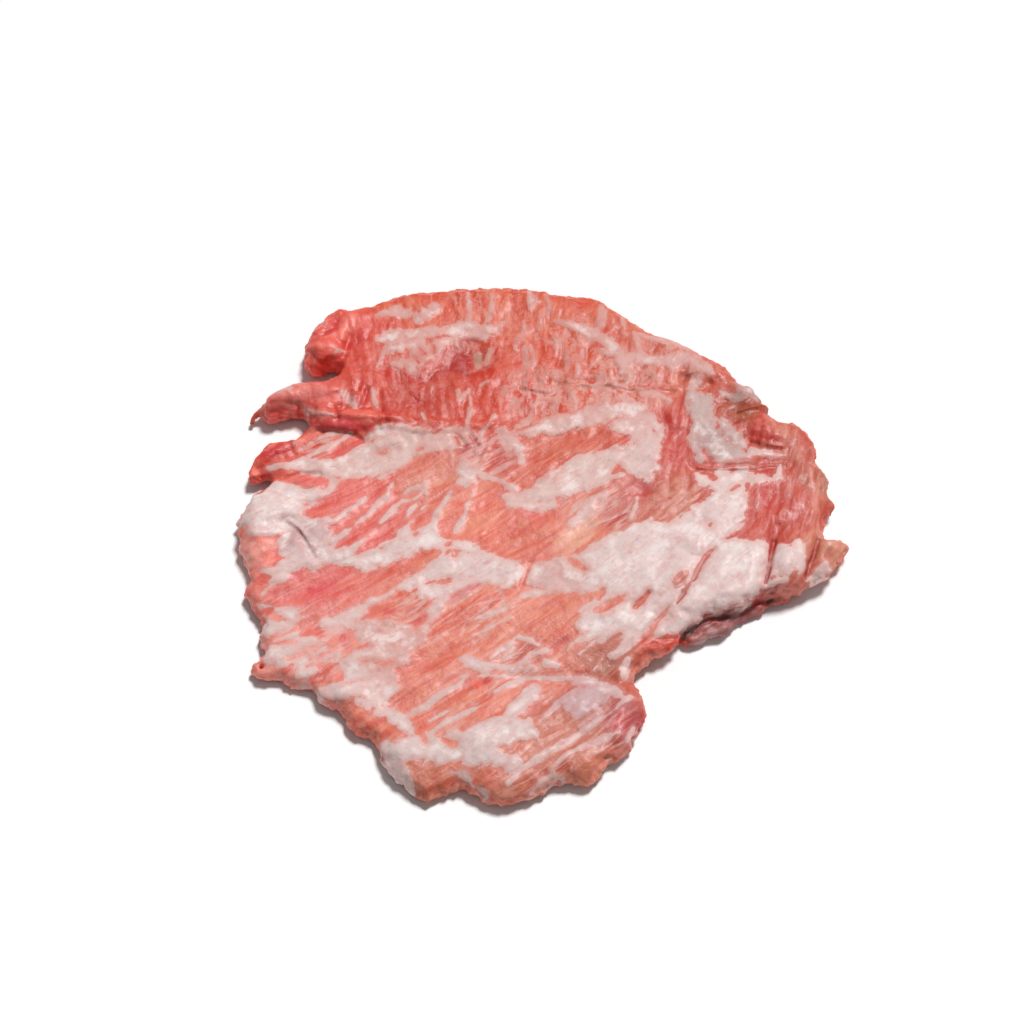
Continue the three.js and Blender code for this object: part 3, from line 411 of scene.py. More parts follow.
# Strokes of lean, laid over the fat.
LEAN = [
    # Stripes and left side
    [(-102, 2.5, 1.2), (-97, 3, 3.6), (-91, 5.5, 4.8), (-85, 11, 5.4), (-79, 16, 5.2), (-74, 18, 3)],
    [(-74, 13, 1.6), (-71, 16, 3.4), (-67.5, 18.5, 2.4)],
    [(-88, -6, 1.2), (-83, -1, 2.6), (-78, 3.5, 2.8), (-75, 7, 1.6)],
    [(-87, -15, 0.8), (-81, -9.5, 2.6), (-75, -4, 2.8), (-70, 2, 2.6), (-67.5, 7, 1.4), (-65, 10, 0.7)],
    [(-78, -17, 1), (-72, -11.5, 3), (-67, -6, 3.4), (-63, -0.5, 3.2), (-60, 4.5, 2.2)],
    [(-64, 12, 1.2), (-61, 17, 3.6), (-55, 21, 3.6), (-50, 26, 3.6), (-45, 30.5, 3.2), (-40, 33, 1.4)],
    [(-112, 21.5, 1.4), (-107, 23, 1.4), (-101, 19, 4.4), (-95, 18, 2.6)],
    [(-113, 25, 2.4), (-117, 22, 2.6)],
    [(-115, -36.5, 0.8), (-109, -35, 3), (-103, -34, 4.6), (-97, -32, 5.6), (-92, -29, 5.4),
     (-89, -26, 3.4)], [(-87, -35, 1.2), (-83, -30.5, 2.4), (-79, -27, 1.8), (-77, -25.5, 0.8)],
    [(-100, -47.5, 0.8), (-93, -45, 3), (-86, -42, 3.8), (-78, -39, 3.8), (-71, -35.6, 3.8),
     (-64, -30.5, 3.6), (-58, -26, 3.8), (-52, -21, 3.4), (-46, -17.6, 2.4), (-43, -16.6, 1)],
    # Gashes and island
    [(-37.6, 43.5, 0.6), (-36, 38.5, 0.8)], [(-31.5, 42.8, 0.6), (-29, 39.2, 0.8), (-27.4, 38.8, 1.3)],
    [(-5, 34, 2.4), (-2, 36.5, 3.6), (5, 38, 5.2), (12, 37.5, 5.4), (19, 41, 4.8), (25, 43, 3.8)],
    [(-2, 31, 3), (-4.2, 26, 2), (-5.2, 22, 1.5), (-7.2, 17, 0.9)],
    # Column
    [(62, 68, 2.4), (60.5, 58, 3.8), (61, 50, 5), (58.5, 45, 5.6), (60, 38, 5), (59.5, 30, 5.6),
     (58, 22, 5.8), (55, 14, 6.4), (52, 6, 6.6)], [(47, 3, 4), (53, 1, 4.5), (59, 5, 4), (62, 12, 2)],
    [(41, 15, 3), (46, 16, 3.4)],
    # Slits and small spots
    [(72, -17, 0.4), (68, -22, 1), (65, -28, 1.4), (62, -34, 1), (58.5, -39, 0.8)],
    [(60, -29, 1.2), (57, -33.5, 2.2), (54.5, -36, 0.8)],
    [(59, -39, 0.6), (57, -41.4, 0.9), (55, -44, 0.4)],
    [(44.5, -38, 0.8), (41, -42, 1.6), (38, -45, 0.8)],
    [(11, -20.5, 1), (14.5, -23, 1.8), (18, -26, 1)], [(82, 14, 1), (85, 16.5, 0.8)],
    [(-13, -113, 1.4), (-8, -111, 2.4), (-4, -108, 1.2)],
    [(-5, -21, 0.8), (-7, -28, 0.7), (-9, -33, 1.6)],
    # Fold, nose and bulge
    [(91, -37.4, 0.6), (96, -36.6, 1), (103, -34.6, 1.4), (109, -31, 1.6)],
    [(110.5, -31, 0.8), (112.6, -24, 1.5), (114, -17, 2.6), (114.6, -9, 3.4)],
    [(99, -6, 2.6), (97.6, -14, 1.9), (96, -20, 0.8), (94.2, -28, 0.5), (93.2, -34, 0.4)],
    [(66, 34.6, 0.5), (66.6, 33, 1)], [(72, 27.5, 1.2), (73, 24, 2), (74.2, 20.5, 1.4)],
    # Flecks and thin lines
    [(50, 72, 1.2), (46, 70, 1)], [(-72, 34.5, 0.6), (-68, 35.5, 1.2)],
    [(-54, 36.5, 0.6), (-52, 37.3, 1)], [(31, 23.5, 0.8), (33.5, 27, 1.6), (36, 24, 0.8)],
    [(64, 28, 0.2), (78, 27.6, 0.5), (88, 28.6, 1.1), (97, 29.8, 1.8), (104, 30.6, 1.2)],
    [(22, -46, 1.6), (27, -44, 3), (31.4, -41.8, 2.2), (33.6, -39.6, 0.8)],
    [(52, -45.5, 0.4), (47.5, -51, 1.2), (44, -57, 1.4)],
    # Near tip
    [(-48, -122, 3), (-45, -123.6, 4.6), (-41, -122.6, 3.4)], [(-40, -106.5, 1.2), (-36, -109, 1.8)],
    [(-74, -70.3, 0.4), (-66, -71, 0.8), (-61, -71, 0.5)], [(71, -6, 0.8), (72, -5, 0.6)],
    # Fifth and sixth stripe
    [(-58.5, -0.8, 1), (-55, 2, 0.9), (-51.5, 8.5, 0.7)],
    [(-55, -4.5, 1.4), (-51.5, -0.5, 3.2), (-48.5, 4, 2.4), (-47, 9, 2.4)],
    [(-47, 9, 2.4), (-44.5, 13, 3), (-42.5, 16, 1.6)],
    [(-41, -6.5, 2.6), (-39.5, -1, 3), (-38, 5, 3.6), (-35.5, 10.5, 4), (-33, 14, 2.4)],
    [(-58.5, 12, 1), (-55, 13.2, 1.5), (-52.8, 15, 0.9)], [(-53.9, -7.8, 0.9), (-53.1, -7.2, 0.9)],
    [(-68.4, -14.8, 0.9), (-67.6, -14.2, 0.9)], [(-40.4, -13.3, 0.9), (-39.6, -12.7, 0.9)],
    [(-37.4, -18.3, 0.9), (-36.6, -17.7, 0.9)],
    # Fan
    [(-28.6, 38, 0.9), (-29.6, 35.8, 1.1)], [(-37, 30, 1), (-36.5, 34.5, 2.4), (-32, 35.5, 2)],
    [(-36.8, 31, 1.2), (-38, 26, 0.8)],
    [(-21, 50, 1.4), (-23.4, 44.5, 1.7), (-24.2, 39.5, 1.3), (-25.8, 35, 1), (-27.6, 32, 0.6)],
    [(-19.8, 45, 0.8), (-20.4, 40.5, 1.5), (-20.8, 35, 1.5), (-22, 30, 1.6)],
    [(-19.8, 44.5, 0.5), (-18.5, 39.7, 0.7), (-16.5, 35.8, 0.6)],
    [(-18, 30, 2), (-16.5, 33, 2.6), (-14, 30.5, 1.6)],
    [(-21, 24, 1.2), (-17.5, 24, 2), (-14.5, 23.2, 1.2)],
    [(-11.3, 32, 0.8), (-11, 28, 0.9), (-9.4, 26, 0.7)],
    [(-24, 20, 1), (-20.5, 17.5, 2.4), (-18, 15, 1.6)],
    # By the island
    [(0, 31, 2), (0.2, 26.5, 1.2)], [(-10.5, 47, 0.7), (-6, 49.2, 0.9), (-2, 51.5, 0.9)],
    [(-14.5, 52, 2.4), (-13.8, 48, 1.2)],
    # Flecks of the upper flap's bands
    [(-60.6, 91, 0.7), (-59.4, 87, 1.3)], [(-54.6, 92, 0.7), (-52.4, 88.5, 1)],
    [(-65.5, 89, 0.6), (-64.6, 85.5, 1)], [(-49.2, 93.6, 0.5), (-48.2, 90, 0.9)],
    [(-56, 85.6, 0.6), (-54.6, 83.6, 0.8)], [(24.4, 97, 0.6), (26.2, 94.8, 0.9)],
    [(27.8, 94.4, 0.9), (29.2, 93.8, 0.9)], [(27.5, 87.6, 1), (32, 87.8, 0.8)],
    # Right side
    [(71, 36, 0.4), (71.4, 31.5, 0.9)], [(65, 26, 1.2), (64.6, 22, 1.6)],
    [(98, 25, 2.6), (93, 25.6, 2.2), (90, 27, 0.8)], [(83, -11, 1.6), (88, -10, 3.5)],
    [(22, -2, 0.6), (24, 5, 0.8), (25, 9, 0.4)],
    # Lower left
    [(-104, -41, 1.6), (-96, -41, 1.2), (-90, -38, 0.8)],
    [(-70.5, -45, 1.8), (-65.5, -43.6, 3.4), (-60, -40.4, 2.6), (-57, -38.4, 1)],
    [(-56, -46, 1.6), (-52, -43.5, 2.6), (-48.5, -41, 1.4)],
    [(-54, -52.5, 1), (-51, -50.5, 1.8), (-48.4, -48.2, 0.9)], [(-54, -36, 0.8), (-52.8, -35.6, 0.9)],
    [(-89, -60.5, 2), (-85, -58, 3.8), (-82, -58, 3.4), (-81.4, -62.4, 1.8)],
    [(-113, -58.5, 0.9), (-107, -55.5, 1.6), (-101, -52.5, 2.1), (-96.5, -50, 2.1), (-94, -47, 1.2)],
    [(-98.5, -56, 1.8), (-95, -54, 2.6), (-92.5, -57.5, 1.6)],
    [(-112, -60.6, 0.6), (-106, -60.2, 1.2), (-102, -60.4, 0.8)],
    [(-104, -68, 1), (-99, -65.5, 2.3), (-94, -63, 2.1), (-91, -61, 0.9)],
    [(-96, -68.6, 0.6), (-91, -66.6, 1), (-86, -64.4, 0.8)],
    [(-97, -71.6, 0.6), (-91, -69.6, 1.2), (-86, -68.4, 0.8)],
    [(-92, -77.5, 2), (-89, -75, 3.6), (-86, -72.6, 2.4)],
    [(-118, -46, 1.4), (-114, -45.6, 2.2), (-110, -49.6, 1.2)],
    [(-54.4, -94, 0.7), (-53.4, -93.8, 0.7)], [(-69, -93.6, 0.8), (-68.6, -91.8, 0.9)],
    # Near side and lobe
    [(-33, -102.6, 1.2), (-26, -97, 1.8), (-18.5, -91.4, 2.2), (-12, -86, 2.2), (-9, -83, 0.9)],
    [(-49.6, -103, 2.2), (-48, -106, 1.6), (-47.4, -108.4, 0.8)],
    [(-28.6, -120.4, 1.2), (-25.6, -124, 2.6), (-22, -127, 2)],
    [(-8, -97, 1.6), (-3.4, -92, 2.4), (2, -87, 2.6), (6.4, -82.6, 2), (9.6, -79, 0.8)],
    [(24.4, -94, 1.6), (27, -91, 1.8)], [(26, -102, 1.8), (30, -98, 3), (33, -93, 2)],
    # By the notch
    [(2, -42, 3.2), (9, -44, 4.6), (13, -49, 1.6), (7, -53, 3)],
    [(21, -64.6, 0.8), (26, -61.4, 0.9), (32.6, -58, 0.7)], [(22.6, -66.4, 0.6), (29, -62.8, 0.8)],
]

# Thin threads of fat, laid over the lean, and two painted glints on the fingers.
VEINS = [
    [(92, 3, 0.35), (93, 10, 0.5), (92, 16, 0.35)], [(106, 22, 0.3), (106.5, 14, 0.45), (105, 8, 0.3)],
    [(116, 26, 0.3), (117, 16, 0.4), (116, 7, 0.3)], [(104, 3.5, 0.7), (105.6, 1.8, 0.5)],
    [(111.2, 6.4, 0.6), (111.3, 5, 0.4)],
    [(-105, 61, 0.5), (-102, 57.5, 1.2), (-97, 54, 1), (-91, 53.2, 0.6)],
    # Painted glints: the two last threads, white streaks on the middle and upper fingers.
    [(-113, 69, 0.9), (-111, 66.5, 0.6)], [(-92, 90, 0.6), (-88, 90.6, 0.6)],
]

# Places with streaks of fat along the fibres: middle, radius and the share of fat there.
STREAKS = [
    (-98, 40, 9, 0.5), (-22, 34, 14, 0.5), (28, 2, 14, 0.45), (-30, -48, 26, 0.3), (-96, -60, 22, 0.58),
    (-108, -45, 14, 0.35), (-30, -88, 22, 0.22), (24, -104, 14, 0.4), (-5, -121, 16, 0.4),
    (-10, -68, 14, 0.45), (-20, 116, 30, 0.2), (14, 100, 16, 0.55), (-2, 67, 18, 0.85),
    (36, 74, 20, 0.9), (20, 66, 14, 0.85), (60, 96, 16, 0.5), (56, 10, 12, 0.2), (105, 12, 18, 0.05),
    (-60, 88, 14, 0.42), (-54, -46, 10, 0.5), (-68, -84, 14, 0.4), (20, 4, 12, 0.55), (82, 46, 8, 0.45),
    (46, 66, 12, 0.45),
]

# Places where the fibres show less and pale curls cross them: middle, radius and share.
CALM = [
    (-96, 98, 26, 0.9), (-104, 64, 26, 0.9), (-72, 76, 34, 0.85), (-24, 84, 44, 0.75),
    (30, 88, 44, 0.75), (20, 68, 34, 0.9), (88, 64, 22, 0.8), (60, 44, 18, 0.7), (52, 14, 14, 0.8),
    (97, 48, 14, 0.9), (-116, 36, 14, 0.8), (-122, -16, 10, 0.7),
]

# Where the fibres run up the picture, as strokes: the flap, the column and the right block.
UPRIGHT = [
    [(-112, 88, 30), (-60, 92, 42), (0, 96, 44), (60, 92, 36)], [(60, 62, 12), (58, 24, 7)],
    [(104, 52, 20), (106, 4, 18)],
]

# Colours as seen in this light, from 0 to 255.
COLOURS = {
    "coral": (222, 94, 80), "warm coral": (222, 106, 80), "brown coral": (218, 112, 92),
    "deep coral": (217, 88, 70), "soft red": (208, 102, 96), "rose": (230, 116, 108),
    "red": (208, 88, 78), "deep red": (178, 62, 56), "brick red": (202, 78, 66),
    "dark brick": (186, 58, 44), "tan rose": (196, 112, 92), "salmon": (222, 130, 114),
    "orange": (230, 139, 121), "light orange": (238, 144, 123), "deep rose": (190, 92, 94),
    "brick": (205, 94, 84), "brown": (178, 94, 72), "tan orange": (208, 127, 107),
    "crimson": (212, 68, 74), "maroon": (158, 98, 98), "crimson rose": (222, 88, 92),
    "rose brown": (206, 118, 108), "bright orange": (246, 130, 114), "soft rose": (233, 126, 119),
    "soft orange": (229, 148, 130), "tan coral": (215, 121, 103), "olive tan": (192, 124, 104),
    "pale tan": (214, 140, 120), "flush with painted light": (255, 170, 160), "flesh": (238, 106, 96),
    "pale orange": (236, 168, 148), "blush": (240, 148, 138), "dull tan": (188, 104, 86),
    "dull grey": (196, 164, 158), "light lilac": (222, 188, 186), "pale": (226, 160, 150),
    "dark": (112, 44, 42), "shadow black": (36, 14, 13), "white": (233, 208, 204), "cream": (230, 197, 190),
    "cool cream": (226, 202, 198), "rag pink": (225, 176, 168), "dark grey": (186, 155, 149),
    "pink": (226, 184, 177), "deep pink": (222, 164, 154), "grey": (208, 178, 173),
    "lilac": (212, 176, 177), "olive": (184, 152, 128),
}

# Places of the lean's colours: middle, radius and the colour's name.
LEAN_PLACES = [
    # Fingers and flap
    (-97, 96, 15, "flesh"), (-107, 65, 15, "soft rose"), (-78, 76, 15, "coral"),
    (-56, 70, 14, "brick red"), (-33, 88, 9, "dark brick"), (-25, 120, 30, "warm coral"),
    (-20, 68, 16, "deep coral"), (14, 96, 20, "warm coral"),
    # Right side
    (52, 92, 18, "tan coral"), (45, 72, 12, "salmon"), (60, 44, 13, "red"), (56, 8, 9, "tan orange"),
    # The brown at (89, 59) is partly painted shade, in the hollow above the knob.
    (42, 16, 5, "soft red"), (98, 46, 7, "brick"), (89, 59, 7, "brown"), (100, 10, 15, "brick"),
    (119, 20, 7, "olive tan"), (122, -14, 8, "pale tan"),
    # Middle
    (8, 38, 14, "brown coral"), (-4, -3, 12, "orange"), (16, -10, 9, "pale orange"),
    (-26, -3, 12, "light orange"),
    # Left side
    (-80, 5, 20, "rose"), (-50, 22, 11, "soft orange"), (-113, 35, 8, "coral"),
    # Painted light: the flush at the left edge is made brighter to make up for the shade on that side.
    (-101, 18, 6, "soft rose"), (-98, -32, 12, "soft rose"), (-121, -17, 7, "flush with painted light"),
    (-102, -62, 18, "blush"),
    # Body, near side and lobe
    (-25, -50, 30, "orange"), (-35, -92, 22, "orange"), (24, -70, 7, "dull tan"),
    (8, -100, 11, "tan rose"), (31, -97, 7, "deep rose"), (4, -120, 16, "tan orange"),
    (-47, -125, 9, "tan orange"), (73, -52, 9, "maroon"), (50, -60, 6, "salmon"),
    # Small ones
    (-16, 31, 4, "soft red"), (-30, 39, 4, "deep rose"), (-86, 48.5, 3, "crimson rose"),
    (-96, 40, 6, "coral"), (-97, -34, 8, "crimson rose"), (-4, 1, 8, "soft rose"),
    # The brown at (66, 77.5) is partly painted shade, in a pit.
    (-33, -38, 7, "rose brown"), (31, 4, 7, "rose brown"), (66, 77.5, 2.5, "brown"),
    (103, 48, 4, "pale tan"), (-27, -81, 4, "bright orange"), (-8, -66, 8, "rose brown"),
]

# Places of the fat's colours.
FAT_PLACES = [
    (-115, 5, 12, "white"), (60, -20, 40, "white"), (18, 24, 18, "cream"), (-62, -15, 16, "white"),
    (69, 60, 9, "grey"), (77, 38, 8, "dull grey"), (92, 67, 7, "dark grey"), (-50, 102, 22, "rag pink"),
    (-54, 88, 8, "deep pink"), (-10, 85, 25, "deep pink"), (45, 88, 24, "rag pink"),
    (-78, 32, 14, "cream"), (-99, -9, 7, "light lilac"), (10, -28, 8, "pink"),
    (-64, -58, 9, "rag pink"), (-68, -71, 8, "pink"), (-80, -83, 12, "white"),
    (-55, -112, 10, "cool cream"), (-22, -106, 12, "cool cream"), (17, -89, 8, "lilac"),
    (-105, -55, 20, "white"), (-28, 88, 4, "olive"), (10, 83, 6, "deep pink"),
]

# Creases: middle line, half width and depth.
CREASES = [
    ([(98, -12), (96.4, -19), (94.6, -26), (93.2, -34)], 0.8, 1.3),
    ([(110.6, -30), (112.6, -23), (115, -17), (116.6, -11)], 0.9, 1.1),
    ([(78, 28), (90, 28), (100, 29.6), (107, 30.6)], 0.5, 0.4),
    ([(93, 41), (99, 38), (103, 37.6)], 0.7, 0.3), ([(64, 78), (67, 77)], 1.3, 0.3),
    ([(74.5, 74.5), (75.5, 73.5)], 1.2, 0.8), ([(-111, 22), (-104, 24.5), (-96, 24)], 0.9, 0.9),
    ([(72, -17), (68, -22), (65, -28), (63, -33)], 0.9, 0.7),
    ([(62, -36), (58, -40), (55, -44)], 0.8, 0.7), ([(44.5, -38), (41, -42), (38, -45)], 0.8, 0.7),
    ([(-37, 44), (-34, 39)], 0.7, 1.0), ([(-31, 44), (-28, 38)], 0.7, 1.0),
    ([(-5, -21), (-7, -28), (-9, -33)], 0.6, 0.5),
    ([(-100, 98), (-95.6, 101), (-93, 104), (-92.4, 107)], 1.2, 0.7),
    ([(-85.6, 99), (-87, 93), (-88.4, 88)], 1.2, 1.0), ([(-89.6, 60), (-89.2, 51)], 1.0, 1.1),
    ([(-70, 55), (-68.4, 49)], 1.0, 0.4), ([(-84.4, 67), (-86, 60), (-88, 56)], 1.0, 0.8),
    ([(-76.6, 69), (-78, 64), (-79.4, 58)], 1.0, 0.8),
    ([(57, -57), (61, -53), (65, -50), (70, -47.8), (78, -46.4), (84, -44), (88, -41.6), (92, -38.8),
     (96, -37.4)], 1.0, 0.9), ([(40, -60.6), (45, -59), (50, -60.4), (55, -59)], 0.8, 0.5),
]

# Fills that make creases of the solid shallower: middle line, half width and height.
FILLS = [
    ([(-8, 71), (3, 69), (14, 73), (28, 73), (40, 70.5), (52, 71), (61, 70.5)], 1.2, 1.1),
    ([(68, 26.5), (80, 26), (92, 27), (98, 29), (106, 29.5)], 1.2, 1.1),
    ([(-108, -1.5), (-103, -5), (-99, -11), (-95.5, -17)], 1.2, 1.4),
    ([(-97, 49.5), (-88, 48.6), (-81, 47.2), (-78, 44)], 1.2, 1.2),
    ([(88, 57.5), (94, 59.5), (99, 62)], 1.3, 1.2), ([(92, 42), (97, 38.4), (104.5, 38)], 1.3, 1.3),
    ([(-72, 56), (-70, 52), (-69.5, 48)], 1.1, 0.9),
    ([(71.5, -17), (66, -24), (63, -32), (60, -39)], 1.2, 0.6),
]

# Ridges and lobes: points of the middle line with the half width there, and the height.
BUMPS = [
    ([(-103, 101, 3), (-100.6, 108, 4.6), (-96, 112.6, 4), (-89, 115, 2)], 0.7),
    ([(-87, 112, 2), (-88.4, 105, 4.2), (-89, 97, 2)], 0.9), ([(-101, 94, 5), (-96, 91, 6)], 1.2),
    ([(-119, 65, 3), (-108, 68, 6), (-98, 68.6, 5), (-90, 68, 2)], 0.9),
    ([(-98, 57, 4), (-93, 57.4, 4.6)], 1.1),
    ([(-88, 55, 2.4), (-82, 54.6, 4), (-76, 54, 3.8), (-71, 52.6, 2.2)], 1.2),
    ([(-68, 52.6, 1.6), (-62, 51.8, 3.4), (-56, 50.8, 1.8)], 0.9),
    ([(-54, 50, 1.6), (-48, 50.4, 3), (-41, 50.6, 1.4)], 0.7),
    ([(-66, 48, 1.4), (-56, 47.8, 3), (-40, 48.6, 3.4), (-22, 50, 2)], 0.7),
    ([(-82, 65, 1.8), (-80.6, 59, 3)], 0.8), ([(-69, 67, 2), (-67, 60, 3.8), (-68, 54, 2)], 0.9),
    ([(-122, 32, 3), (-118, 38, 4.6), (-110, 41, 3)], 0.8), ([(-104, 19, 3), (-97, 18.6, 4)], 0.7),
    ([(95, 55, 3), (97, 48, 6.4), (98, 42, 4)], 0.4), ([(82, 56, 5), (91, 60, 4.6), (98, 61, 3)], 1.0),
    ([(61, -57, 1.2), (67, -55.6, 2.4), (73, -53.4, 2), (79, -49, 1)], 0.9),
]

# Strokes of local colour, painted shade and painted highlights, in lean and fat alike: middle line,
# half width, colour and strength.
COLOUR_AND_PAINTED_LIGHT_STROKES = [
    # Fold and nose
    # Painted shade and painted shadow: a dark line along the crease under the fold's brow, and two
    # black holes in the gap under it.
    ([(57, -57), (61, -53), (65, -50), (70, -47.8), (78, -46.4), (84, -44), (88, -41.6),
     (92, -38.8)], 0.9, "dark", 0.5), ([(58, -56.6), (62.5, -53.4)], 0.6, "shadow black", 0.85),
    ([(94.6, -38), (96.6, -37.2)], 0.5, "shadow black", 0.8),
    ([(62, -57), (67, -55.6), (71, -53)], 1.4, "lilac", 0.6),
    ([(68.4, -48), (72, -48.6)], 1.6, "deep red", 0.6), ([(88.6, -40.8), (92, -39)], 1, "crimson", 0.6),
    ([(42, -62), (50, -63), (56, -59)], 2.4, "coral", 0.6),
    # Partly real red and partly painted shade: dark lines along the creases of the nose and the bulge.
    ([(110.4, -30), (112.6, -23), (115, -17), (116.8, -11)], 0.9, "deep red", 0.8),
    ([(95.6, -21), (94.4, -27), (93.2, -34)], 0.6, "maroon", 0.7),
    ([(98, -8), (97, -15), (96, -19)], 1.4, "deep red", 0.5),
    # Hump
    # Partly painted shade: a dark line along the hump's crease, whose groove is mostly filled.
    ([(-108, -1), (-103, -5), (-99, -10), (-95, -16)], 0.6, "maroon", 0.45),
    ([(-106, -7), (-106.4, -13)], 1.6, "maroon", 0.3),
    # Fingers
    # Partly painted shade: a crimson line along the crease of the upper finger.
    ([(-92.4, 108), (-92.6, 103), (-97, 99)], 1.6, "crimson", 0.75),
    ([(-86, 109), (-88, 104), (-89, 98)], 2.4, "bright orange", 0.7),
    ([(-98, 107), (-97, 105)], 1.8, "pale", 0.6),
    ([(-79, 104), (-80, 98), (-84, 95)], 2.2, "crimson", 0.55),
    ([(-74, 106), (-70, 105)], 1.4, "crimson", 0.6), ([(-73, 93), (-73, 91)], 2, "red", 0.6),
    ([(-99, 93), (-95, 88.6)], 3, "bright orange", 0.4),
    ([(-117, 68), (-113.4, 71)], 2, "deep rose", 0.6), ([(-97, 57.4), (-93, 57.4)], 3.4, "coral", 0.6),
    # Seam
    # Partly painted highlight: the top of the seam roll made brighter.
    ([(-86, 55), (-79, 54), (-71, 52.6)], 2.6, "bright orange", 0.6),
    # Partly painted shade: dark lines under the seam roll and along the creases of the seam.
    ([(-100, 50.4), (-94, 49.4), (-86, 49), (-79, 47.6), (-74, 46.6)], 1.2, "crimson rose", 0.8),
    ([(-70, 50), (-67.4, 48.4)], 1.2, "deep red", 0.4), ([(-90, 58), (-89, 52)], 0.9, "deep red", 0.6),
    ([(-83, 65), (-81, 59)], 1.8, "deep rose", 0.5),
    # Partly painted shade: a crimson line along a crease.
    ([(-76.6, 69), (-78, 64), (-79.4, 58)], 1, "crimson", 0.7),
    ([(-68.6, 66), (-67, 59), (-68, 53)], 2.6, "red", 0.5),
    # Flap and net
    ([(-47, 77), (-43, 80)], 2, "deep red", 0.5), ([(-38.6, 63), (-38.4, 57)], 0.8, "crimson", 0.5),
    # Partly painted shade: deep red round the hollow in the flap.
    ([(-37, 92), (-35, 97), (-29, 98.6)], 1.6, "deep red", 0.6),
    ([(-37, 88), (-36, 82), (-33, 78)], 2, "deep red", 0.6),
    ([(-9, 97), (-9, 91)], 0.9, "crimson", 0.5), ([(8, 74.6), (10.6, 74.4)], 1.4, "brown", 0.7),
    ([(29, 72.6), (31.4, 72.6)], 1.2, "brown", 0.6), ([(35, 74.6), (37, 74.4)], 1, "brown", 0.6),
    ([(39.4, 70.6), (41, 70.4)], 1, "brown", 0.6), ([(-8.4, 72), (-3, 69)], 0.9, "brown", 0.5),
    # The crimson line from (44, 72) is partly painted shade, along a crease that the fills make
    # shallow.
    ([(9, 87), (9.6, 84)], 1, "brown", 0.5), ([(44, 72), (50, 71.2), (57, 70.6)], 0.7, "crimson", 0.6),
    # Left side and body
    ([(-111, -36), (-106, -35)], 1.6, "crimson", 0.6),
    ([(-93, -35), (-88.6, -31)], 1.8, "crimson rose", 0.8),
    ([(-65, -46), (-62.4, -45)], 1.4, "crimson rose", 0.7),
    ([(-53, -51.6), (-49, -49)], 1.4, "crimson rose", 0.7),
    ([(-37, -39), (-31, -35), (-27, -34)], 2, "crimson rose", 0.5),
    ([(-82.6, -58), (-81.6, -62)], 1.6, "crimson rose", 0.5),
    ([(-24, -79.6), (-22.4, -79)], 1.4, "crimson", 0.6),
    # Notch and lobe
    # The deep rose from (6, -61) is painted shadow, by the notch.
    ([(6, -61), (10, -59)], 1.8, "deep rose", 0.5), ([(25.6, -74), (28.4, -71.6)], 2.2, "olive", 0.5),
    ([(29, -100), (31.6, -96)], 2.4, "crimson rose", 0.5),
    # Lower finger and tail
    # Painted shade: the dark by the lower finger, at the notch.
    ([(-110, 43), (-108, 40)], 1.6, "dark", 0.4),
    # Partly painted highlight: a brighter strip along the left rim of the lower finger.
    ([(-125, 27), (-123, 34), (-117, 41)], 2.4, "bright orange", 0.75),
    ([(-120, 35), (-112, 37)], 3, "crimson", 0.75), ([(-125, 62.4), (-129, 57)], 2, "brown", 0.6),
    ([(-112, 43), (-106, 44), (-100, 46)], 2, "bright orange", 0.6),
    # Right side
    ([(97, 55), (95, 48), (97, 43)], 2.4, "coral", 0.4),
    # Painted shadow under the lower edge of the knob.
    ([(93, 41), (99, 38), (104, 37.6)], 0.9, "brown", 0.7),
    ([(106, 50), (108, 42), (109, 34)], 4, "tan orange", 0.5), ([(88, 72), (94, 67)], 3, "lilac", 0.4),
    # The brown from (84, 58) is partly painted shade, in the hollow above the knob.
    ([(84, 58), (88, 53)], 2.4, "brown", 0.45), ([(95, 14), (97, 3)], 3, "crimson", 0.3),
    ([(117, 28), (118, 14), (117, 4)], 3, "orange", 0.4),
    ([(76, 29.6), (88, 31), (103, 33)], 0.9, "coral", 0.5),
]


def linear(colour):
    """A colour as seen, from 0 to 255, as the light that it stands for on a screen."""
    share = np.array(colour) / 255
    return np.where(share < 0.04045, share / 12.92, ((share + 0.055) / 1.055) ** 2.4)


def own_colour(name):
    """The surface's own colour, from the colour that it shows under this light."""
    return np.clip((linear(COLOURS[name]) - GLOSS) / LIGHT, *OWN_LIMITS)


def smooth_step(value, low, high):
    t = np.clip((value - low) / (high - low), 0, 1)
    return t * t * (3 - 2 * t)


def at_least(least, share):
    """A share that runs from the least to 1."""
    return least + (1 - least) * share


class Noise:
    """Smooth random heights, about -1 to 1, over points in space. The seed fixes them."""

    TABLE = 256
    SPREAD = 1.6

    def __init__(self, seed):
        rng = np.random.default_rng(seed)
        self.order = rng.permutation(self.TABLE)
        slopes = rng.normal(size=(self.TABLE, 3))
        self.slopes = slopes / np.linalg.norm(slopes, axis=1)[:, None]

    def __call__(self, points):
        cell = np.floor(points).astype(int)
        local = points - cell
        fade = local ** 3 * (local * (local * 6 - 15) + 10)
        total = np.zeros(len(points))
        for corner in np.ndindex(2, 2, 2):
            corner = np.array(corner)
            place = (cell + corner) % self.TABLE
            key = self.order[place[:, 0]]
            key = self.order[(key + place[:, 1]) % self.TABLE]
            key = self.order[(key + place[:, 2]) % self.TABLE]
            height = np.sum(self.slopes[key] * (local - corner), axis=1)
            share = np.prod(np.where(corner == 1, fade, 1 - fade), axis=1)
            total += height * share
        return total * self.SPREAD


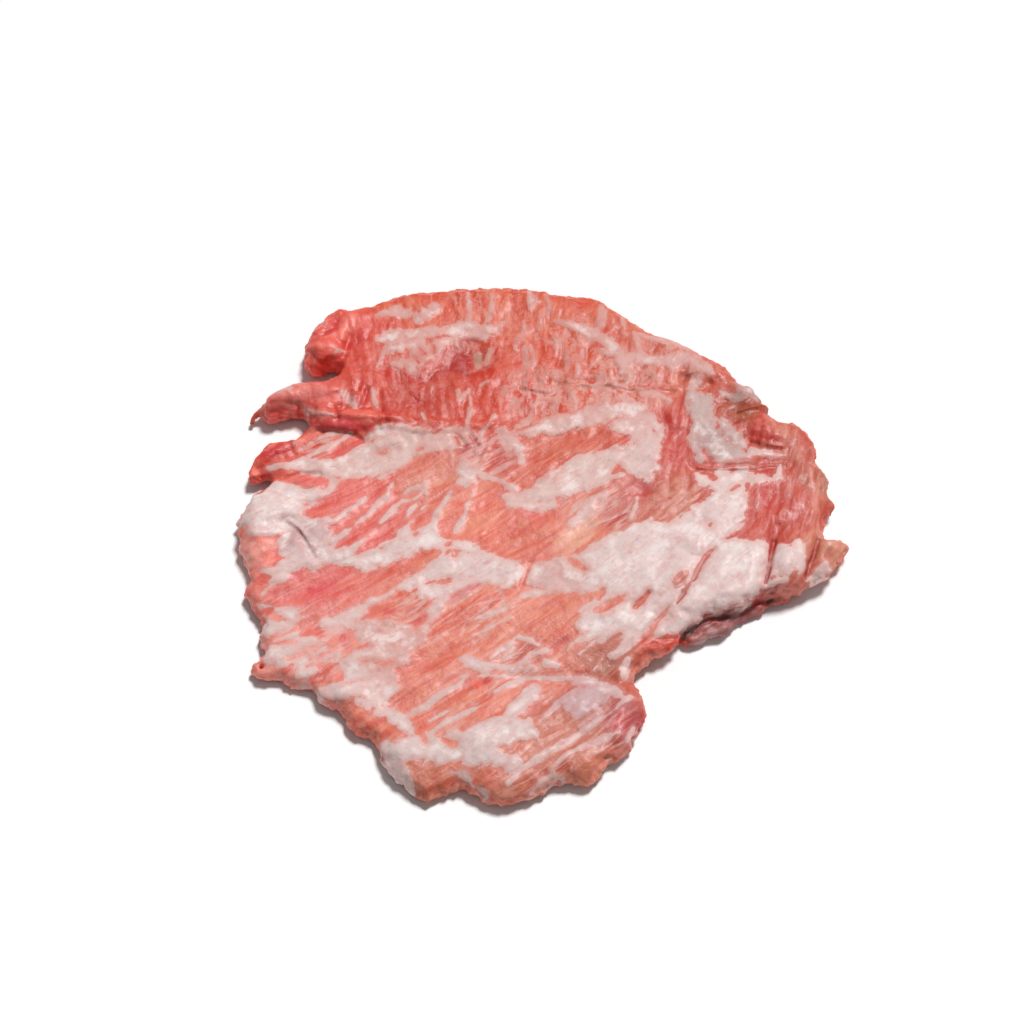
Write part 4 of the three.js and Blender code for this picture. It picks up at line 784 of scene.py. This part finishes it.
def stroke(x, y, points):
    """Distance in from the edge of a stroke, above 0 inside it, and its half width there."""
    best = np.full(x.shape, FAR_OUTSIDE)
    breadth = np.ones(x.shape)
    for (x0, y0, w0), (x1, y1, w1) in zip(points[:-1], points[1:]):
        dx = x1 - x0
        dy = y1 - y0
        t = np.clip(((x - x0) * dx + (y - y0) * dy) / (dx * dx + dy * dy), 0, 1)
        half_width = w0 + t * (w1 - w0)
        inside = half_width - np.hypot(x - x0 - t * dx, y - y0 - t * dy)
        breadth = np.where(inside > best, half_width, breadth)
        best = np.maximum(best, inside)
    return best, breadth


def join(a, b, rounding):
    """The larger of two fields, with the corner between them rounded."""
    h = np.clip(0.5 + 0.5 * (a - b) / rounding, 0, 1)
    return b + (a - b) * h + rounding * h * (1 - h)


def marbling(x, y):
    """Distance in from the edge of the fat, below 0 in lean, and the nearest stroke's half width."""
    field = np.full(x.shape, ALL_LEAN)
    breadth = np.ones(x.shape)
    layers = ((FAT, 1, ROUNDING), (LEAN, -1, ROUNDING), (VEINS, 1, VEIN_ROUNDING))
    for strokes, side, rounding in layers:
        for points in strokes:
            inside, half_width = stroke(x, y, points)
            breadth = np.where(inside > side * field, half_width, breadth)
            field = side * join(side * field, inside, rounding)
    return field, breadth


def line_inside(x, y, path, half_width):
    """Distance in from the edge of a stroke of one width."""
    return stroke(x, y, [(px, py, half_width) for px, py in path])[0]


def crease_depth(x, y, creases):
    """How deep the creases are at each point, with their sides rounded."""
    depth = np.zeros(x.shape)
    for path, half_width, deepest in creases:
        inside = line_inside(x, y, path, half_width)
        depth = np.maximum(depth, deepest * smooth_step(inside, -half_width, half_width))
    return depth


def bump_height(x, y):
    """How high the ridges and lobes are at each point, with round tops."""
    height = np.zeros(x.shape)
    for points, highest in BUMPS:
        inside, half_width = stroke(x, y, points)
        rise = np.clip(inside / half_width, 0, 1)
        height = np.maximum(height, highest * np.sqrt(rise * (2 - rise)))
    return height


def lay_colour_and_painted_light(x, y, tones):
    """The tones with the strokes of local colour, painted shade and painted highlights laid over them.
    """
    for path, half_width, name, strength in COLOUR_AND_PAINTED_LIGHT_STROKES:
        low, high = (edge * half_width for edge in PAINTED_STROKE_EDGE)
        share = strength * smooth_step(line_inside(x, y, path, half_width), low, high)
        tones = tones + share[:, None] * (own_colour(name) - tones)
    return tones


def place_colour(x, y, places):
    """The colours of the nearest places, each with its share, and the strokes of local colour, painted
    shade and painted highlights over them.
    """
    weights = []
    for px, py, radius, _ in places:
        away = np.hypot(x - px, y - py) / radius
        weights.append(1 / (MIDDLE_SHARE + away ** 2) ** 2)
    weights = np.array(weights)
    shares = weights / weights.sum(axis=0)
    tones = np.array([own_colour(name) for *_, name in places])
    return lay_colour_and_painted_light(x, y, np.einsum("pn,pc->nc", shares, tones))


def spot_share(x, y, spots):
    """The largest share that any of the spots gives at each point."""
    share = np.zeros(x.shape)
    for px, py, radius, amount in spots:
        away = np.hypot(x - px, y - py) / radius
        share = np.maximum(share, amount * smooth_step(-away, -SPOT_END, -SPOT_WHOLE))
    return share


def upright_share(x, y):
    """1 where the fibres are the fan's, and 0 where they are the body's."""
    best = np.full(x.shape, FAR_OUTSIDE)
    for points in UPRIGHT:
        best = np.maximum(best, stroke(x, y, points)[0])
    return smooth_step(best, -UPRIGHT_EDGE, UPRIGHT_EDGE)


def fan_fibres(x, y):
    """Distance along and across the fibres that fan out up the flap."""
    across = (x - FAN_MIDDLE_X) * np.exp(-FAN_GROWTH * (y - FAN_LEVEL_Y))
    return y, across


def slanting_fibres(x, y):
    """Distance along and across the fibres of the body."""
    slant = BODY_SLANT + BODY_SLANT_GROWTH * x
    path = -np.log(np.cos(slant)) / BODY_SLANT_GROWTH
    across = (y - path) * math.cos(BODY_SLANT)
    along = x * math.cos(BODY_SLANT) + y * math.sin(BODY_SLANT)
    return along, across


def add_object(name, data):
    made = bpy.data.objects.new(name, data)
    bpy.context.scene.collection.objects.link(made)
    return made


def make_skin():
    """The solid's surface as fine even faces, with the facets smoothed away."""
    meat = add_object("pork_secreto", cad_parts[NODE].data.copy())
    remesh = meat.modifiers.new("skin", "REMESH")
    remesh.mode = "VOXEL"
    remesh.voxel_size = VOXEL * MM
    smooth = meat.modifiers.new("smooth", "SMOOTH")
    smooth.factor = SMOOTHING
    smooth.iterations = SMOOTHING_STEPS
    apply_modifiers(meat)
    return meat


def apply_modifiers(piece):
    depsgraph = bpy.context.evaluated_depsgraph_get()
    mesh = bpy.data.meshes.new_from_object(piece.evaluated_get(depsgraph))
    piece.modifiers.clear()
    piece.data = mesh


def read_points(mesh):
    """The mesh's points, in millimetres, and its normals."""
    found = []
    for field in ("co", "normal"):
        values = np.empty(len(mesh.vertices) * 3)
        mesh.vertices.foreach_get(field, values)
        found.append(values.reshape(-1, 3))
    return found[0] / MM, found[1]


def thin_underside(meat):
    """Fewer faces where the cut lies on the table."""
    points, normals = read_points(meat.data)
    under = np.flatnonzero((points[:, 2] < UNDERSIDE_TOP) & (normals[:, 2] < UNDERSIDE_NORMAL))
    group = meat.vertex_groups.new(name="underside")
    group.add(under.tolist(), 1.0, "REPLACE")
    thin = meat.modifiers.new("thin", "DECIMATE")
    thin.ratio = KEPT_SHARE
    thin.vertex_group = group.name
    apply_modifiers(meat)
    meat.vertex_groups.clear()


def add_attribute(mesh, name, values):
    """Stores one, three or four numbers for each point: a value, a place or a colour."""
    values = np.asarray(values, dtype=np.float32).reshape(len(mesh.vertices), -1)
    kinds = {1: ("FLOAT", "value"), 3: ("FLOAT_VECTOR", "vector"), 4: ("FLOAT_COLOR", "color")}
    kind, field = kinds[values.shape[1]]
    mesh.attributes.new(name, kind, "POINT").data.foreach_set(field, values.ravel())


def folds(noise, width=FOLD_WIDTH):
    """Soft pads with creases between them, from 0 in a crease to 1 on a pad."""
    return 1 - np.exp(-np.abs(noise) / width)


class Cut:
    """The points of the cut, with the fibres and the marbling there."""

    def __init__(self, mesh):
        self.points, self.normals = read_points(mesh)
        self.x, self.y, self.z = self.points.T
        self.below = smooth_step(-self.normals[:, 2], *TOWARDS_BELOW)
        self.side = 1 - smooth_step(np.abs(self.normals[:, 2]), *OFF_THE_SIDE)
        # The underside's marbling is the top's, mirrored.
        self.seen_x = np.where(self.below > 0.5, -self.x, self.x)
        self.warp = np.stack([self.noise(*sizes) for sizes in WARPS])
        self.calm = spot_share(self.seen_x, self.y, CALM)
        upright = upright_share(self.seen_x, self.y)
        sway = self.noise(*SWAYS)
        self.shares = {"fan": upright, "slanting": 1 - upright}
        self.fibres = {"fan": fan_fibres(self.seen_x + sway, self.y),
                       "slanting": slanting_fibres(self.seen_x, self.y + sway)}
        self.bundles = self.both_fibres(BUNDLES, folds)
        self.lobes = folds(self.drawn(*LOBES))
        self.mark_fat()

    def noise(self, amount, seed, size):
        return amount * Noise(seed)(self.points / size)

    def noises(self, rows):
        return sum(self.noise(*row) for row in rows)

    def drawn(self, way, amount, seed, length, width):
        """Noise drawn out along the fibres."""
        along, across = self.fibres[way]
        places = np.stack([along / length, across / width, self.z / width], axis=1)
        return amount * Noise(seed)(places)

    def both_fibres(self, rows, shape=np.asarray):
        """The sum of noises drawn out along the fibres, each where its fibres are."""
        return sum(shape(self.drawn(*row)) * self.shares[row[0]] for row in rows)

    def mark_fat(self):
        """Distance in from the torn edge of the fat, and how much of that edge is torn."""
        ragged = self.both_fibres(RAGS) + self.noises(SPOT_RAGS)
        field, breadth = marbling(self.seen_x + self.warp[0], self.y + self.warp[1])
        self.torn = np.clip(breadth / WIDE, LEAST_TORN, 1)
        self.fat = np.clip(field + self.torn * ragged, -MOST_FAT, MOST_FAT)

    def creases(self):
        x, y = self.points[:, :2].T + CREASE_WARP * self.warp
        return crease_depth(x, y, CREASES) * (1 - self.below)

    def height(self):
        """How far each point moves out along its normal, before the creases."""
        fatness = smooth_step(self.fat, -FAT_SHOULDER, FAT_SHOULDER)
        lean = 1 - fatness
        free = 1 - CALM_LOSS * self.calm
        reach = at_least(BUNDLE_REACH, self.shares["fan"])
        bumps = bump_height(self.x + self.warp[0], self.y + self.warp[1])
        height = FAT_RISE * fatness
        height += lean * free * STRAND_DEPTH * self.both_fibres(STRANDS)
        height += lean * reach * free * BUNDLE_DEPTH * (self.bundles - FOLD_LEVEL)
        height += lean * self.calm * LOBE_DEPTH * (self.lobes - FOLD_LEVEL)
        height += bumps * smooth_step(self.normals[:, 2], *TOWARDS_ABOVE)
        pads = folds(self.noise(*PADS), PAD_FOLD_WIDTH) - FOLD_LEVEL
        height += PAD_HEIGHT * pads * at_least(PAD_REACH, fatness)
        for sizes in LUMPS:
            height += self.noise(*sizes)
        return height + RIM_TEAR * self.side * self.noises(RIM)

    def groove(self, creases):
        """How deep each point lies between bundles and lobes or in a crease, from 0 to 1, for the
        painted shade there.
        """
        reach = at_least(GROOVE_REACH, self.shares["fan"])
        groove = np.clip(1 - self.bundles / BUNDLE_GROOVE, 0, 1) * reach
        groove *= 1 - GROOVE_CALM_LOSS * self.calm
        groove += np.clip(1 - self.lobes / LOBE_GROOVE, 0, 1) * LOBE_GROOVE_DEPTH * self.calm
        return np.clip(groove + creases, 0, 1)

    def tone(self, places):
        """The colours of the places, with painted light on the near sides: they face away from the sun,
        so their colours are made paler to make up for their shade.
        """
        near_side = self.side * smooth_step(-self.normals[:, 1], *TOWARDS_NEAR)
        tone = place_colour(self.seen_x, self.y, places) * (1 + NEAR_SIDE_PAINTED_LIGHT * near_side[:, None])
        return np.hstack([tone, np.ones((len(tone), 1))])


def shape_meat(meat):
    """Raises the fat, draws the fibres and creases, and stores what the material needs."""
    mesh = meat.data
    cut = Cut(mesh)
    creases = cut.creases()
    height = cut.height() + (crease_depth(cut.x, cut.y, FILLS) * (1 - cut.below) - creases)
    height = np.where(cut.below > 0.5, np.minimum(height - FAT_RISE, 0), height)
    moved = cut.points + cut.normals * height[:, None]
    moved[:, 2] = np.maximum(moved[:, 2], 0)
    mesh.vertices.foreach_set("co", (moved * MM).ravel())

    add_attribute(mesh, "fat", cut.fat)
    add_attribute(mesh, "torn", cut.torn)
    add_attribute(mesh, "groove", cut.groove(creases))
    add_attribute(mesh, "streaks", spot_share(cut.seen_x, cut.y, STREAKS))
    add_attribute(mesh, "calm", cut.calm)
    add_attribute(mesh, "upright", cut.shares["fan"])
    for way, fibres in cut.fibres.items():
        add_attribute(mesh, way, np.stack([*fibres, cut.z], axis=1))
    # The tones carry the painted light of the near sides.
    add_attribute(mesh, "lean_tone", cut.tone(LEAN_PLACES))
    add_attribute(mesh, "fat_tone", cut.tone(FAT_PLACES))
    mesh.polygons.foreach_set("use_smooth", np.ones(len(mesh.polygons), dtype=bool))
    mesh.update()


class Graph:
    """Adds nodes to a material and joins them. A value may be a number, a tuple or a socket."""

    def __init__(self, material):
        self.tree = material.node_tree

    def node(self, kind, settings=None, **inputs):
        made = self.tree.nodes.new(kind)
        for name, value in (settings or {}).items():
            setattr(made, name, value)
        for name, value in inputs.items():
            self.put(made.inputs[name.replace("_", " ")], value)
        return made

    def put(self, socket, value):
        if isinstance(value, bpy.types.NodeSocket):
            self.tree.links.new(value, socket)
        else:
            socket.default_value = value

    def put_all(self, made, values):
        for socket, value in values.items():
            self.put(made.inputs[socket], value)
        return made

    def attribute(self, name, output="Fac"):
        return self.node("ShaderNodeAttribute", {"attribute_name": name}).outputs[output]

    def math(self, operation, *values):
        made = self.node("ShaderNodeMath", {"operation": operation})
        return self.put_all(made, dict(enumerate(values))).outputs[0]

    def plus(self, a, b):
        return self.math("ADD", a, b)

    def times(self, a, b):
        return self.math("MULTIPLY", a, b)

    def larger(self, a, b):
        return self.math("MAXIMUM", a, b)

    def grown(self, share, base, growth):
        return self.plus(base, self.times(share, growth))

    def scaled(self, vector, sizes):
        made = self.node("ShaderNodeVectorMath", {"operation": "DIVIDE"})
        return self.put_all(made, {0: vector, 1: sizes}).outputs[0]

    def noise(self, vector, detail, roughness, distortion):
        made = self.node("ShaderNodeTexNoise", Vector=vector, Scale=1.0, Detail=detail,
                         Roughness=roughness, Distortion=distortion)
        return made.outputs["Fac"]

    def around(self, noise, size):
        """Noise about 0, from half of -size to half of size at most."""
        return self.times(self.math("SUBTRACT", noise, 0.5), size)

    def off_middle(self, noise):
        """How far the noise is from its middle, which runs in lines."""
        return self.math("ABSOLUTE", self.around(noise, 1.0))

    def step(self, value, low, high):
        made = self.node("ShaderNodeMapRange", {"interpolation_type": "SMOOTHSTEP"}, Value=value)
        return self.put_all(made, {"From Min": low, "From Max": high}).outputs["Result"]

    def mix(self, factor, a, b):
        """Numbers mixed by a factor from 0 to 1."""
        made = self.node("ShaderNodeMix", {"data_type": "FLOAT"})
        return self.put_all(made, {0: factor, 2: a, 3: b}).outputs[0]

    def blend(self, factor, a, b, way="MIX"):
        """Colours mixed by a factor from 0 to 1."""
        made = self.node("ShaderNodeMix", {"data_type": "RGBA", "blend_type": way})
        return self.put_all(made, {0: factor, 6: a, 7: b}).outputs[2]

    def tinted(self, colour, tint):
        return self.blend(1.0, colour, tint, "MULTIPLY")

    def fibres(self, length, width, detail, wave):
        """Noise drawn out along the fibres of both parts of the cut, which wave a little."""
        upright = self.attribute("upright")
        sides = []
        for name, drawn in (("slanting", length), ("fan", FAN_LENGTH * length)):
            stretched = self.scaled(self.attribute(name, "Vector"), (drawn, width, width))
            sides.append(self.noise(stretched, detail, 0.5, wave))
        return self.mix(upright, *sides)


def new_material(name):
    material = bpy.data.materials.new(name)
    material.use_nodes = True
    return material


def set_shader(shader, values):
    for name, value in values.items():
        shader.inputs[name].default_value = value


def material_noises(g, calm):
    """The noises by name, with the fibres' own where the fibres show less."""
    place = g.node("ShaderNodeTexCoord").outputs["Object"]
    in_mm = g.scaled(place, (MM, MM, MM))
    noises = {}
    for name, (size, *others) in SPOTS.items():
        noises[name] = g.noise(g.scaled(in_mm, (size, size, size)), *others)
    for name, sizes in FIBRES.items():
        noises[name] = g.fibres(*sizes)
    for name, other in CALMED.items():
        noises[name] = g.mix(calm, noises[name], noises[other])
    return noises


def torn_edge(g, noises):
    """Distance in from the edge of the fat, torn along the fibres."""
    torn = g.attribute("torn")
    tatters = g.times(torn, g.mix(g.attribute("upright"), *TATTERS))
    edge = g.plus(g.attribute("fat"), g.around(noises["tatters"], tatters))
    return g.plus(edge, g.around(noises["lace"], g.times(torn, LACE)))


def fat_share(g, noises, share, calm):
    """How much of the surface is fat: patches with a thin film round them, threads and curls."""
    film = g.times(g.step(noises["edge"], *FILM_EDGE), FILM_SHARE)
    fatness = g.larger(film, g.step(noises["edge"], *FAT_EDGE))

    # Threads of fat between the bundles of lean, more and wider where the streaks are.
    width = g.grown(share, *THREAD_GROWTH)
    sides = [g.times(width, side) for side in THREAD_SIDES]
    thread = g.step(g.off_middle(noises["threads"]), *sides)
    thread = g.times(thread, g.step(noises["gaps"], *THREAD_PLACES))
    thread = g.times(thread, g.grown(share, *THREAD_SHARE_GROWTH))
    fatness = g.larger(fatness, thread)

    # Pale curls where the fibres show less.
    curl = g.step(g.off_middle(noises["curls"]), *CURL_SIDES)
    curl = g.times(curl, g.step(noises["cloud"], *CURL_PLACES))
    strength = g.times(calm, g.grown(share, *CURL_SHARE_GROWTH))
    return g.larger(fatness, g.times(curl, g.math("MINIMUM", strength, MOST_CURL)))


def lean_colour(g, noises, share):
    """Lean, with painted shade that deepens it between the fibres and in the creases, and paler on the
    fibres.
    """
    light = 1.0
    for name, sway in LEAN_SWAYS.items():
        light = g.plus(light, g.around(noises[name], sway))
    tone = g.attribute("lean_tone", "Color")
    lit = g.node("ShaderNodeVectorMath", {"operation": "SCALE"}, Vector=tone, Scale=light)
    lean = lit.outputs[0]
    # Painted shade: the lean is darkened in the grooves between bundles and lobes and in the creases.
    lean = g.blend(g.times(g.attribute("groove"), GROOVE_SHADE_SHARE), lean, g.tinted(lean, GROOVE_SHADE))
    for name, limits, tint in LEAN_LAYERS:
        lean = g.blend(g.step(noises[name], *limits), lean, g.tinted(lean, tint))
    pale = g.blend(g.grown(share, *PALE_GROWTH), lean, PALE)
    return g.blend(g.step(noises["coarse"], *PALE_FIBRES), lean, pale)


def fat_colour(g, noises):
    """Fat, pinker where it is thin and in blots, and whiter in broad patches."""
    tone = g.attribute("fat_tone", "Color")
    white = g.blend(WHITE_SHARE, tone, WHITE)
    fat = g.blend(g.step(noises["cloud"], *WHITE_PLACES), tone, white)
    for name, limits, most, tint in FAT_LAYERS:
        fat = g.blend(g.times(g.step(noises[name], *limits), most), fat, g.tinted(tone, tint))
    return g.blend(g.step(noises["blotch"], *SHADED_PLACES), fat, g.tinted(fat, SHADED))


def fine_relief(g, noises, fatness, calm):
    """The normals of the relief that is finer than the mesh."""
    height = g.times(fatness, FAT_RELIEF)
    for name, amount in NOISE_RELIEF.items():
        if isinstance(amount, tuple):
            amount = g.mix(fatness, *amount)
        height = g.plus(height, g.times(noises[name], amount))
    height = g.times(height, g.mix(calm, 1.0, CALM_RELIEF))
    bump = g.node("ShaderNodeBump", Height=height, Strength=RELIEF_STRENGTH,
                  Distance=RELIEF_THICKNESS * MM)
    return bump.outputs["Normal"]


def meat_material():
    """Moist raw pork: lean with fibres and streaks of fat, and soft pale fat with torn edges."""
    material = new_material("raw_pork")
    material.node_tree.nodes.clear()
    g = Graph(material)
    calm = g.times(g.attribute("calm"), CALM_SHARE)
    share = g.attribute("streaks")
    noises = material_noises(g, calm)
    noises["edge"] = torn_edge(g, noises)
    fatness = fat_share(g, noises, share, calm)
    colour = g.blend(fatness, lean_colour(g, noises, share), fat_colour(g, noises))
    rough = g.plus(g.mix(fatness, *ROUGHNESS), g.around(noises["blotch"], ROUGHNESS_SWAY))
    shader = g.node("ShaderNodeBsdfPrincipled", Base_Color=colour, Roughness=rough,
                    Normal=fine_relief(g, noises, fatness, calm))
    set_shader(shader, MEAT_SHADER)
    g.node("ShaderNodeOutputMaterial", Surface=shader.outputs["BSDF"])
    return material


def floor_material():
    material = new_material("pale_floor")
    set_shader(material.node_tree.nodes["Principled BSDF"], FLOOR_SHADER)
    return material


def make_floor():
    """A wide pale floor under the cut."""
    half = FLOOR_HALF
    mesh = bpy.data.meshes.new("floor")
    corners = [(-half, -half, 0), (half, -half, 0), (half, half, 0), (-half, half, 0)]
    mesh.from_pydata(corners, [], [(0, 1, 2, 3)])
    mesh.materials.append(floor_material())
    add_object("floor", mesh)


def make_camera():
    data = bpy.data.cameras.new("camera")
    data.lens = LENS
    data.sensor_width = SENSOR
    camera = add_object("camera", data)
    rise = math.radians(CAMERA_ELEVATION)
    back = Vector((0, -math.cos(rise), math.sin(rise)))
    camera.location = (Vector(AIM) + back * CAMERA_DISTANCE) * MM
    camera.rotation_euler = (math.pi / 2 - rise, 0, 0)
    bpy.context.scene.camera = camera


def light_scene():
    """Soft light from the whole room, and more of it from high up behind and to the right."""
    world = bpy.data.worlds.new("studio")
    world.use_nodes = True
    background = world.node_tree.nodes["Background"]
    background.inputs["Color"].default_value = (1, 1, 1, 1)
    background.inputs["Strength"].default_value = ROOM_LIGHT
    bpy.context.scene.world = world
    data = bpy.data.lights.new("softbox", "SUN")
    data.energy = SUN_LIGHT
    data.angle = math.radians(SUN_SIZE)
    light = add_object("softbox", data)
    light.rotation_euler = Vector(SUN_TOWARDS).to_track_quat("-Z", "Y").to_euler()
    bpy.context.scene.view_settings.view_transform = "Standard"


def make_meat():
    meat = make_skin()
    thin_underside(meat)
    shape_meat(meat)
    meat.data.materials.clear()
    meat.data.materials.append(meat_material())
    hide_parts(NODE)
    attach(meat, "root")


make_camera()
make_floor()
light_scene()
make_meat()
